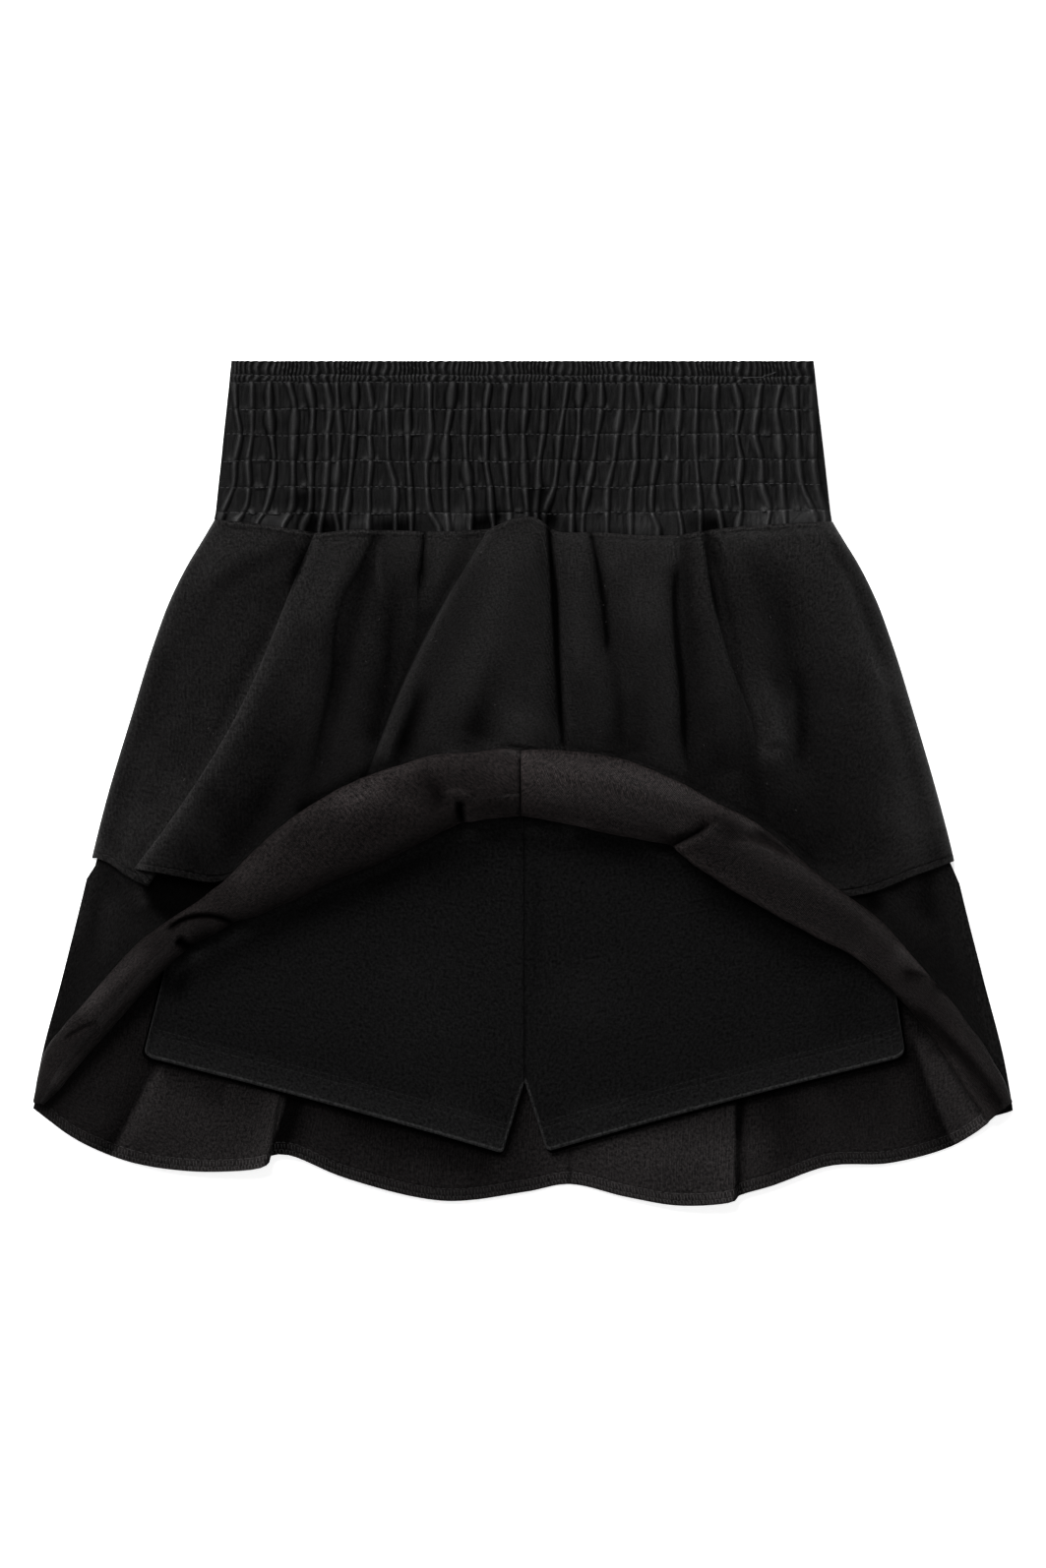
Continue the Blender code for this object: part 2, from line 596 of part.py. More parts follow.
def upper_tier_back():
    u = np.linspace(0.0, 1.0, 13)[:, None]
    v = np.linspace(0.0, 1.0, 8)[None]
    corner_left, corner_right = left_side(WAIST_CORNER_Y), right_side(WAIST_CORNER_Y)
    top_x = corner_left + (corner_right - corner_left) * u
    top_y = hidden_seam_y(top_x)
    low_x = UPPER_CORNER_LEFT[0] + (UPPER_CORNER_RIGHT[0] - UPPER_CORNER_LEFT[0]) * u
    y = top_y + (upper_back_hem(low_x) - top_y) * v
    x = left_side(y) + (right_side(y) - left_side(y)) * u
    mid = np.stack([x, y, np.full_like(x, UPPER_BACK_Z)], axis=2)
    wall("upper_tier_back", mid, TIER_WALL, KNIT)


# ---- lower tier ----
# rows down the flat of the lower tier's front; two lie each side of the upper tier's hem
FLAT_ROWS = np.array([0.0, 0.3, 0.584, 0.612, 0.8, 1.0])
FOLD_WIDTH = 15.0  # the hem is only folded where the roll is this wide, and rolled up from
FULL_WIDTH = 23.0  # this width on
TIGHTER = 0.38  # how much tighter the roll's inner end is, from TIGHTER_FROM to ROLL_ANGLE
TIGHTER_FROM = 290.0
OFF_TIER_FROM = 0.5  # how far out along the roll it leaves the upper tier, and over how far
OFF_TIER_OVER = 0.12
SETTLE_ANGLE = 60.0  # the roll leaves the flat within this angle


def roll_sections(table, along):
    """The roll's edges and top at each place along it, from the centre seam to the side seam."""
    middle = np.array([((s.up_x + s.low_x) / 2, (s.up_y + s.low_y) / 2) for s in table])
    knots = np.concatenate([[0.0], np.cumsum(np.linalg.norm(np.diff(middle, axis=0), axis=1))])
    knots /= knots[-1]
    columns = {name: curve(along, knots, [getattr(s, name) for s in table]) for name in Section._fields}
    up = np.stack([columns["up_x"], columns["up_y"]], axis=1)
    low = np.stack([columns["low_x"], columns["low_y"]], axis=1)
    return up, low, columns["top"]


def dent_depth(dents, along, angle):
    depth = np.zeros(np.broadcast(along, angle).shape)
    for d in dents:
        shift = along - d.along - d.skew * (angle - d.angle) / 60.0
        reach = (shift / d.along_reach) ** 2 + ((angle - d.angle) / d.angle_reach) ** 2
        depth += d.depth * np.exp(-reach)
    return depth


def rolled_grid(table, dents, side, columns, flat_rows, roll_rows):
    """Half of the lower tier's front: flat from the waist seam to under the roll, out to the
    roll's lower edge, over its top and in under itself."""
    along = columns[:, None]
    up, low, top = roll_sections(table, columns)
    chord = up - low
    width = np.linalg.norm(chord, axis=1)[:, None]
    toward = chord / width
    start = (up + low) / 2
    outline = left_side if side < 0 else right_side
    seam_x = CENTRE_X + side * GAP / 2

    def inner(y):
        return outline(y) - side * tier_inset(y)

    waist_y = np.array(WAIST_CORNER_Y)
    share_low = (start[:, 0] - seam_x) / (outline(start[:, 1]) - seam_x)
    share_low = share_low.clip(0.0, 1.0)
    share_low[0], share_low[-1] = 0.0, 1.0
    share_top = columns
    v = flat_rows[None]
    waist_x = seam_x + (inner(waist_y) - seam_x) * share_top
    top_y = hidden_seam_y(waist_x)[:, None]
    y = top_y + (start[:, 1:2] - top_y) * v
    share = share_top[:, None] + (share_low - share_top)[:, None] * v
    x = seam_x + (inner(y) - seam_x) * share
    flat = np.stack([x, y, lower_front_z(x, y)], axis=2)

    z0 = flat[:, -1, 2][:, None]
    start_xy = flat[:, -1, :2]
    peak = top[:, None]
    on_upper_tier = 1 - smooth((along - OFF_TIER_FROM) / OFF_TIER_OVER)
    resting = z0 + ON_TOP + GAP + ROLL_ON_FOLDS * on_upper_tier
    room = smooth((width - FOLD_WIDTH) / (FULL_WIDTH - FOLD_WIDTH))
    last = FOLD_ANGLE + (ROLL_ANGLE - FOLD_ANGLE) * room
    angle = np.linspace(0.0, 1.0, roll_rows + 1)[None, 1:] * last
    turn = np.radians(angle)
    height = np.where(angle < 180.0, peak - z0, peak - resting)
    z_base = np.where(angle < 180.0, z0, resting)
    inward = 1.0 - TIGHTER * smooth((angle - TIGHTER_FROM) / (ROLL_ANGLE - TIGHTER_FROM))
    inward = inward - dent_depth(dents, along, angle) / (width / 2)
    half = width / 2 - TIER_WALL / 2
    q = -half * inward * np.sin(turn)
    z = z_base + height / 2 * (1 - inward * np.cos(turn))
    settle = smooth(angle / SETTLE_ANGLE)[..., None]
    middle = start[:, None] * settle + start_xy[:, None] * (1 - settle)
    roll_xy = middle + toward[:, None] * q[..., None]
    roll = np.concatenate([roll_xy, z[..., None]], axis=2)
    mid = np.concatenate([flat, roll], axis=1)
    mid[0, :, 0] = seam_x
    return mid


def lower_tier_front(name, table, dents, side):
    mid = rolled_grid(table, dents, side, np.linspace(0.0, 1.0, 22), FLAT_ROWS, 14)
    if side < 0:
        mid = mid[::-1]
    wall(name, mid, TIER_WALL, KNIT_BACK, square_end=-1 if side < 0 else 0)


def lower_back_grid(stretch_rows, longest):
    """The lower tier's back, flat under the shorts and fluted at its hem. stretch_rows counts
    its rows above the upper tier's hem, down to BACK_LINES_Y and down to its own hem."""
    lines = []
    corner_left, corner_right = left_side(WAIST_CORNER_Y), right_side(WAIST_CORNER_Y)
    for row in BACK_LINES:
        shares = []
        for x, at in ((row.line_x, BACK_LINES_Y), (row.hem_x, row.hem_y)):
            share = (x - left_side(at)) / (right_side(at) - left_side(at))
            shares.append(float(np.clip(share, 0.0, 1.0)))
        waist_x = corner_left + (corner_right - corner_left) * shares[0]
        y = np.concatenate([
            np.linspace(float(hidden_seam_y(waist_x)), HEM_ROWS_Y[0], stretch_rows[0]),
            np.linspace(HEM_ROWS_Y[1], BACK_LINES_Y, stretch_rows[1]),
            np.linspace(BACK_LINES_Y, row.hem_y, stretch_rows[2] + 1)[1:],
        ])
        t = ((BACK_LINES_Y - y) / (BACK_LINES_Y - row.hem_y)).clip(0.0, 1.0)
        left, right = left_side(y) + tier_inset(y), right_side(y) - tier_inset(y)
        x = left + (right - left) * (shares[0] + (shares[1] - shares[0]) * t)
        fade = smooth((BACK_FLAT_Y - y) / (BACK_FLAT_Y - BACK_LINES_Y))
        rise = row.line_rise * fade + (row.hem_rise - row.line_rise) * t**FLUTE_CURL
        lines.append(np.stack([x, y, lower_back_z(x, y) + rise], axis=1))
    lines = np.stack(lines)
    return across(lines, steps_between(lines, longest))


def lower_tier_back():
    wall("lower_tier_back", lower_back_grid((3, 4, 5), 17.0), TIER_WALL, KNIT_BACK)


# ---- shorts ----
def shorts_grid(side, z, below, u, v):
    """One panel of the shorts, u from its outer edge to the centre and v from waist to hem,
    with the leg's corners rounded."""
    word = "left" if side < 0 else "right"
    inner_x, inner_y = LEG_HEM_INNER[word]
    u, v = u[:, None], v[None]
    seam_x = CROTCH_X + side * GAP / 2
    outer_hem_x = table_curve(LEG_HEM_OUTER_Y, SHORTS_SIDES, "y", word)
    waist_x = seam_x + (table_curve(126.0, SHORTS_SIDES, "y", word) - seam_x) * (1 - u)
    top_y = hidden_seam_y(waist_x)
    outer_round = 1 - np.sqrt(1 - (1 - u / LEG_ROUND_OUTER).clip(0, 1) ** 2)
    inner_round = 1 - np.sqrt(1 - (1 - (1 - u) / LEG_ROUND_INNER).clip(0, 1) ** 2)
    hem_y = LEG_HEM_OUTER_Y + (inner_y - LEG_HEM_OUTER_Y) * u - below
    hem_y = hem_y + LEG_CORNER * (outer_round + inner_round / 2)
    y = top_y + (hem_y - top_y) * v
    outer = np.where(y < LEG_HEM_OUTER_Y, outer_hem_x, table_curve(y, SHORTS_SIDES, "y", word))
    slant = ((CROTCH_Y - y) / (CROTCH_Y - inner_y)).clip(0.0)
    inner = seam_x + (inner_x - seam_x) * slant
    x = outer + (inner - outer) * u
    return np.stack([x, y, np.full_like(x, z)], axis=2)


def shorts_panel(name, side, z, below):
    u = np.array([0.0, 0.008, LEG_ROUND_OUTER, 0.35, 0.7, 1 - LEG_ROUND_INNER, 1.0])
    v = np.array([0.0, 0.2, 0.4, 0.6, 0.78, 0.88, 0.96, 1.0])
    mid = shorts_grid(side, z, below, u, v)
    if side > 0:
        mid = mid[::-1]
    wall(name, mid, SHORTS_WALL, JERSEY)


def main():
    for old in list(bpy.data.objects):
        bpy.data.objects.remove(old)
    upper_tier_back()
    lower_tier_back()
    for side, word in ((-1, "left"), (1, "right")):
        shorts_panel("shorts_back_" + word, side, SHORTS_BACK_Z, BACK_LEG_BELOW)
        shorts_panel("shorts_front_" + word, side, SHORTS_FRONT_Z, 0.0)
    lower_tier_front("lower_tier_front_left", ROLL_LEFT, DENTS_LEFT, -1)
    lower_tier_front("lower_tier_front_right", ROLL_RIGHT, DENTS_RIGHT, 1)
    upper_tier_front()
    waistband_back()
    waistband_front()


main()
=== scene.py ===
"""The looks of a two-tier skort: fine cloth on the solids' forms, its sewing, floor and light.

X runs across the garment, +Y to the waistband and +Z up from the surface that it lies on.
Sizes and tables are in millimetres, and closed_mesh() writes each mesh in metres. The forms'
tables are the CAD source's, with edges moved by up to 6 mm to the photograph's.
"""

import math
from collections import namedtuple

import bpy
import numpy as np
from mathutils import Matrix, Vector, noise


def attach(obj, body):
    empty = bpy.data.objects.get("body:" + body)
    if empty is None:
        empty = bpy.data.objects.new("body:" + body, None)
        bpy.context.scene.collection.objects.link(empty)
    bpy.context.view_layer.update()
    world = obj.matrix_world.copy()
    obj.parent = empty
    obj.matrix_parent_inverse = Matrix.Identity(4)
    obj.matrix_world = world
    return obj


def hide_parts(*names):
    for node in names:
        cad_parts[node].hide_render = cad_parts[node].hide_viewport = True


MM = 0.001

# ---- driving dimensions, as in the CAD source ----
BAND_TOP_Y = 215.0
BAND_TOP_HALF = 148.0
BAND_LOW_Y = 130.0
BAND_WALL = 1.1
BAND_FRONT_Z = (3.2, 4.4)  # at the band's top and at the waist seam
TIER_WALL = 1.2
SHORTS_WALL = 1.0
GAP = 0.3
CENTRE_X = -1.0
CROTCH_X = 1.0

UPPER_BACK_Z = TIER_WALL / 2
LOWER_BACK_Z = UPPER_BACK_Z + TIER_WALL + GAP
SHORTS_BACK_Z = LOWER_BACK_Z + TIER_WALL / 2 + GAP + SHORTS_WALL / 2
SHORTS_FRONT_Z = SHORTS_BACK_Z + SHORTS_WALL + GAP
LOWER_FRONT_Z = SHORTS_FRONT_Z + SHORTS_WALL / 2 + GAP + TIER_WALL / 2
ON_TOP = TIER_WALL + GAP
TIER_INSET = 3.0
CLEAR = 0.15
WAIST_CORNER_Y = 134.0
HEM_ROWS_Y = (-40.5, -48.2)
BACK_HEM_SIDE_Y = -38.0
BACK_HEM_DIP = 28.0
BACK_HEM_HALF = 215.0
DROP_START = 14.0
DROP_OVER = 45.0
LEG_MARGIN = (9.0, 13.0)
LEG_MARGIN_Y = (125.0, -25.0)


# ---- the forms' tables ----
def named(columns, rows):
    """A table's rows, with its columns' names."""
    row_of = namedtuple("Row", columns)
    return [row_of(*row) for row in rows]


SIDES = named("y left right", [
    (134, -156.8, 157.2), (123, -163.3, 163.9), (113, -169.4, 170.1), (93, -179.5, 180.1),
    (73, -187, 187.5), (33, -199.4, 199.9), (-7, -211.4, 211.5), (-37, -219, 219.2),
    (-50, -222, 222), (-100, -234.5, 234.6), (-140, -244.9, 244.9), (-165.4, -249.3, 249.5),
])
WAIST_SEAM = named("x y", [
    (-155, 134.2), (-112, 128.5), (-104, 127), (-92, 128.2), (-30, 128.2), (-16, 129.5), (-5, 134),
    (8, 134), (15, 129), (35, 127.6), (78, 126), (95, 128.6), (155.5, 133.2),
])
HIDDEN_SEAM_X = [-155, -104, 78, 155.5]
HIDDEN_SEAM_Y = [134.2, 127, 126, 133.2]

# lines down the upper tier's front: x at the waist seam, at MID_Y and at the lower edge, with
# the height there; a line whose low_y is None ends under the roll
MID_Y = 40.0
LINE = "name waist_x mid_x low_x low_y waist_rise mid_rise low_rise"
LEFT_PANEL = named(LINE, [("left panel", -131, -171, -205.2, -43.8, 0.2, 0.8, 0.2)])
UPPER_LINES = named(LINE, [
    ("pleat A hollow", -92, -125, -176, -46.8, 3.8, 3.2, 2.6),
    ("panel B crest", -86, -112, -156, -49.8, 3.8, 3.6, 1.6),
    ("valley B shoulder", -79, -106, -133, None, 2.8, 2.8, 1.8),
    ("valley B", -72.5, -96, -117, None, 0.2, 0.4, 0.2),
    ("panel C crest", -66, -87, -103, None, 1.8, 1.1, 0.8),
    ("gather C left", -52, -71.5, -88, None, 2, 0.8, 0.8),
    ("gather C", -49, -69.4, -86, None, 1.8, 0.5, 0.5),
    ("gather C right", -45.5, -67.4, -84, None, 2, 0.4, 0.2),
    ("panel D foot", -18, -65, -80.8, None, 1.2, 0, 0),
    ("ridge D edge", -16, -62.6, -77.4, None, 3.4, 2.8, 2.4),
    ("ridge D crest", -13.5, -59.8, -74, None, 5.2, 4.8, 4.2),
    ("ridge D back", -10, -55, -67.5, None, 5.6, 4, 1.4),
    ("bulge E flank", -5, -43, -52, None, 5.8, 4.4, 1.8),
    ("bulge E hollow", 1, -25, -31, None, 6, 4.4, 0.8),
    ("bulge E crest", 6, -3, -9, None, 6, 6.2, 4.4),
    ("bulge E shoulder", 11, 16.4, 18.6, None, 4.8, 4.6, 3),
    ("line F", 13.5, 19.2, 21.5, None, 1, 2, 1),
    ("panel F edge", 15.6, 21.6, 24, None, 2.4, 3, 2),
    ("panel F crest", 26, 35, 37, None, 3.2, 3, 2),
    ("gather G", 34.5, 47, 49, None, 0.8, 2, 0.9),
    ("gather G right", 39.5, 53, 57, None, 3, 2.8, 1.8),
    ("panel H crest", 63, 67, 69, None, 4, 4.2, 2.8),
    ("valley H shoulder", 74.5, 77, 79, None, 3.8, 3.8, 2.2),
    ("valley H", 81, 84, 86, None, 0.8, 0.8, 0.4),
    ("panel I crest", 88.5, 101, 107, None, 2.4, 2.6, 1.4),
    ("crease I", 92.8, 112.5, 123, None, 0.6, 1.2, 0.4),
    ("crease I right", 97, 117, 128, None, 2.2, 2, 0.6),
    ("ridge J", 112, 130, 141, None, 2.6, 2.6, 0.5),
    ("hollow J", 121, 141, 152, None, 1.2, 0.7, 0.3),
    ("right panel inner", 134, 162, 175, -55.7, 1, 0.9, 0.3),
    ("right panel outer", 146, 182, 199, -46.7, 0.4, 0.6, 0.2),
])
PLEAT_A_EDGE_X = (-105, -141.8, -196.8)
PLEAT_A = named("name over low_y rise", [
    ("foot", -4.5, -46.5, 0),
    ("under layer", 4.6, -51.6, 0.1),
    ("under turn", 6.4, -52.4, 0.9),
    ("back from the turn", 4.6, -50.2, 1.7),
    ("inner layer", 1.4, -45.8, 1.8),
    ("edge", 0, -43.4, 2.65),
    ("over the edge", 1.6, -43.6, 3.55),
    ("lip", 4.6, -44.1, 3.9),
    ("lip back", 8.5, -44.7, 3.4),
])
UPPER_CORNER_LEFT = (-216.9, -37.0)
UPPER_CORNER_RIGHT = (218.3, -39.3)

# sections across the rolled hem, from the centre-front seam out to the side seam
ROLL_CORNER_X = 235.0
SECTION = "up_x up_y low_x low_y top"
ROLL_LEFT = named(SECTION, [
    (-1.5, 16.6, -1, -16.3, 20.5), (-6, 17.2, -5, -16.6, 22), (-25.5, 15.9, -19, -18.2, 22),
    (-45, 14.2, -34, -21.8, 21), (-65.5, 8.3, -50.5, -29.3, 22.5), (-89.5, -0.9, -72, -40, 24),
    (-116.5, -17.3, -97, -50, 22.5), (-138.5, -36.4, -118.5, -60.3, 20),
    (-152, -49.8, -135, -67, 18), (-165.5, -60.3, -150.5, -73.3, 17),
    (-183, -71.8, -167, -82.4, 16), (-197, -82.6, -181, -93.8, 15),
    (-214.5, -102.3, -200, -114.6, 13.5), (-233, -123.5, -218.5, -135.5, 11.5),
    (-241.6, -134.2, -229, -147.6, 10.5), (-246.4, -149.5, -236.6, -156.6, 9),
    (-249, -161.8, -243, -163, 7.2),
])
ROLL_RIGHT = named(SECTION, [
    (-1.5, 16.6, -1, -16.3, 20.5), (4, 17, 3, -16.8, 22), (26, 16.3, 21, -20.3, 23),
    (53, 11.4, 42.5, -25, 23), (73.5, 3.4, 58.5, -28.3, 21.5), (94, -7.2, 77, -33.6, 17.5),
    (104, -12.6, 87, -41.5, 20.5), (121, -21.6, 102.5, -51.5, 20), (134.5, -32.6, 115, -59.2, 18.5),
    (149.5, -45.6, 131, -68.5, 17), (168.5, -59.6, 151.5, -79.6, 16),
    (183, -71.2, 167, -87.6, 14.5), (202, -92.3, 186.5, -103.9, 14),
    (219, -112.3, 203.5, -123.8, 12.5), (234.5, -133.4, 216.5, -142, 11.5),
    (243.5, -148.5, 226, -156.4, 10.5), (248.9, -161.5, 236.5, -171, 9.4),
])

# lines down the lower tier's back: x at BACK_LINES_Y and at the hem, and the heights there
BACK_LINES_Y = -125.0
BACK_FLAT_Y = -70.0
FLUTE_CURL = 3.6
BACK_LINES = named("name line_x hem_x hem_y line_rise hem_rise", [
    ("left side", -238.5, -249, -165.4, 0, 0),
    ("left corner", -218, -228, -180.7, 0.2, 1.6),
    ("flute 1 crease", -179, -206, -190.8, 0, 0.4),
    ("flute 1", -163, -187.5, -195.2, 0.4, 2.8),
    ("flute 1 high", -140, -158, -197.4, 0.8, 5.2),
    ("flute 1 edge", -116.5, -130, -194, 1, 7.4),
    ("flute 1 foot", -114.5, -128, -189.4, 0.1, 4.2),
    ("after flute 1", -106, -119, -189, 0, 3.6),
    ("dip", -80, -90, -200.8, 0, 2.8),
    ("middle wave", -36, -40, -212.4, 0.2, 1.8),
    ("middle", -2, 2, -207.8, 0, 0.8),
    ("flute 2 crease", 22, 24, -204, 0, 0),
    ("flute 2", 44, 53, -210.4, 0.4, 2.8),
    ("flute 2 high", 70, 80, -214.6, 0.6, 5.2),
    ("flute 2 edge", 106.8, 107.3, -212.2, 0.8, 7.6),
    ("flute 2 foot", 108.6, 109.2, -210, 0.1, 4.4),
    ("after flute 2", 122, 127, -204.6, 0, 3.6),
    ("right dip", 146, 156, -194.6, 0, 2.4),
    ("right wave", 172, 187, -193.2, 0, 1.4),
    ("flute 3 crease", 203, 219.5, -184.2, 0, 0),
    ("flute 3 edge", 216, 236, -173.4, 0.3, 2.6),
    ("flute 3 foot", 217.5, 237.5, -171.8, 0, 0.8),
    ("right side", 239.5, 249.2, -163, 0, 0),
])

SHORTS_SIDES = named("y left right", [
    (126, -139, 139), (80, -152, 152), (30, -164, 165), (-30, -172, 175), (-92, -181, 187),
    (-137, -192, 194),
])
CROTCH_Y = -150.7
LEG_WIDTH = 190.0
LEG_HEM_OUTER_Y = -138.5
LEG_HEM_INNER = {"left": (-10.3, -187.6), "right": (12.8, -186.6)}
LEG_CORNER = 4.0
LEG_ROUND_OUTER = 0.026
LEG_ROUND_INNER = 0.014
BACK_LEG_BELOW = 2.0
LEG_SIDE_BELOW = 1.6  # the back of a leg shows this far beside its front
LEG_HEM_ROWS = (15.0, 12.0)  # the twin needles' rows above the leg's edge

# ---- creases that the fine sheets have on top of those forms ----
# The points that a crease runs through; its height (below 0 a trough); how far it spreads to
# the left and the right of that way; and the share of its length over which it starts and ends.
Crease = namedtuple("Crease", "path height left right start end", defaults=(0, 0))
VALLEY_B = [
    (-74, 127), (-83.6, 107), (-90.3, 96), (-95.6, 75), (-97, 53), (-101, 35), (-104, 21), (-112, -12),
]
GATHER_G = [(34.7, 127), (38.2, 109.5), (41, 91), (42.5, 75), (42.8, 62)]
UPPER_CREASES = [
    # left panel
    ([(-131, 122.5), (-151.6, 113.9), (-164.5, 98), (-173, 88)], 0.9, 7, 9, 0.3, 0.5),
    ([(-112, 123.9), (-140, 113), (-158, 95), (-163, 76)], -0.8, 6, 6, 0.2, 0.5),
    ([(-182, 40), (-194, -2), (-200, -34)], 0.7, 12, 9, 0.4, 0.4),
    ([(-206, -22), (-211, -38)], -0.4, 5, 5, 0.4, 0.3),
    ([(-204, -34), (-199, -44)], 0.6, 2, 1.4, 0.3, 0.2),
    ([(-212, -33), (-208, -42)], -0.5, 1.6, 1.6, 0.3, 0.1),
    # panel with pleat A
    ([(-120, 63.6), (-128.6, 46.4), (-140, 19), (-153, 0), (-162, -20)], -1.1, 8, 7, 0.3, 0.4),
    ([(-98, 124), (-104, 100), (-112, 74)], 0.5, 6, 6, 0.2, 0.5),
    (VALLEY_B, -0.7, 2.2, 1.2, 0.02, 0.3),
    ([(-150, -24), (-166, -42)], 0.5, 6, 5, 0.4, 0.4),
    # panel C
    ([(-72.7, 122), (-72.7, 101), (-70.5, 88)], 0.9, 1.6, 1.2, 0.1, 0.5),
    ([(-66, 92), (-67.5, 72), (-70, 48), (-75, 26), (-82, 6)], -0.3, 2.6, 3, 0.2, 0.1),
    ([(-49.5, 129), (-51.3, 108), (-53.4, 88), (-56, 74)], -1.9, 1.6, 1.2, 0, 0.35),
    ([(-45, 127), (-44.6, 108), (-45, 96)], 0.8, 2.4, 1.4, 0.05, 0.4),
    ([(-41, 100), (-47, 88), (-53, 76)], -0.7, 2, 4, 0.3, 0.3),
    ([(-36, 127), (-41, 106)], 0.5, 3, 2.4, 0.05, 0.6),
    # ridge D: sharp at its left
    ([(-20, 124), (-31, 107), (-40, 89), (-48, 74), (-55.5, 58.7), (-63.5, 41), (-70.4, 23), (-79, 2)],
     0.7, 2.4, 1.1, 0.15, 0),
    ([(-48, 54), (-55, 34), (-64, 9)], -1.1, 5, 3.4, 0.3, 0),
    # bulge E
    ([(-8, 66), (-18, 48), (-27, 22)], -1.2, 8, 6, 0.4, 0.1),
    ([(-4, 128), (-8, 100), (-16, 74)], 0.6, 9, 6, 0.1, 0.6),
    ([(7.5, 128), (10, 106), (13, 84)], -0.8, 3, 4, 0.1, 0.6),
    ([(1, 40), (-2, 18)], 0.8, 10, 9, 0.5, 0.1),
    # line F: a fold that dips under its left edge
    ([(13.6, 128), (14.8, 116.7), (17, 101), (18.9, 63.6), (21.2, 18)], -1.3, 0.9, 1.3, 0.02, 0.02),
    ([(17, 126), (19.5, 100), (21.6, 62), (23.6, 20)], 0.5, 2, 1, 0.05, 0.1),
    # panel F and gather G
    (GATHER_G, -0.8, 1.1, 1.1, 0.05, 0.4),
    ([(31, 126), (34.6, 104), (38, 82)], 0.4, 2.2, 3.4, 0.05, 0.5),
    ([(38.3, 127), (42.5, 110)], -0.7, 0.9, 0.9, 0.05, 0.4),
    ([(45, 66), (48.3, 35), (47, 14)], -0.5, 4, 4, 0.4, 0.2),
    ([(52, 64), (54, 40), (54, 18)], 0.4, 4, 3, 0.4, 0.3),
    # panel H: lit, with a sharp edge beside its valley
    ([(67, 124), (69, 96), (71, 70)], 0.8, 4, 8, 0.1, 0.5),
    ([(77.7, 118), (75.8, 95), (76.4, 78), (77.7, 63), (80.6, 46), (82, 26), (83.5, 2)],
     -0.9, 3.6, 0.9, 0.2, 0.1),
    ([(54, 122), (50, 104)], 0.5, 5, 4, 0.2, 0.5),
    ([(45, 124), (47, 110)], -0.4, 1.6, 1.6, 0.1, 0.6),
    # crease I and the small loop beside it
    ([(91.4, 127), (95.6, 99.4), (101.8, 73), (108.8, 52), (115.8, 34.5), (120, 16)],
     -1, 2.2, 0.9, 0.05, 0.1),
    ([(96.5, 127), (102, 121), (104, 110)], 0.9, 1.3, 1.3, 0.1, 0.4),
    ([(98.6, 125), (101, 120), (101.6, 112)], -0.7, 0.8, 1, 0.1, 0.3),
    # hollow J ends in a lit rim
    ([(120, 62), (126, 40), (130, 19)], 1.4, 4, 5, 0.5, 0.05),
    ([(119, 52), (123, 34), (127, 20)], -0.5, 2.4, 1.6, 0.4, 0.3),
    ([(134.4, 105), (136, 69), (139, 46), (141, 26), (138, 0)], -0.5, 7, 4, 0.3, 0.3),
    # right panel
    ([(130, 120), (134, 96), (136, 68)], -0.4, 9, 7, 0.3, 0.4),
    ([(158, 130), (159, 108)], -0.9, 1.6, 1, 0.05, 0.6),
    ([(160, 112), (164, 92), (170, 76)], 0.6, 8, 9, 0.3, 0.5),
    ([(171.7, 63.6), (182, 54), (191.8, 40.7)], 0.7, 6, 6, 0.4, 0.4),
    ([(164, 54), (176, 36)], -0.3, 7, 7, 0.4, 0.4),
    ([(183, -8), (190, -32)], 0.5, 9, 8, 0.4, 0.3),
]
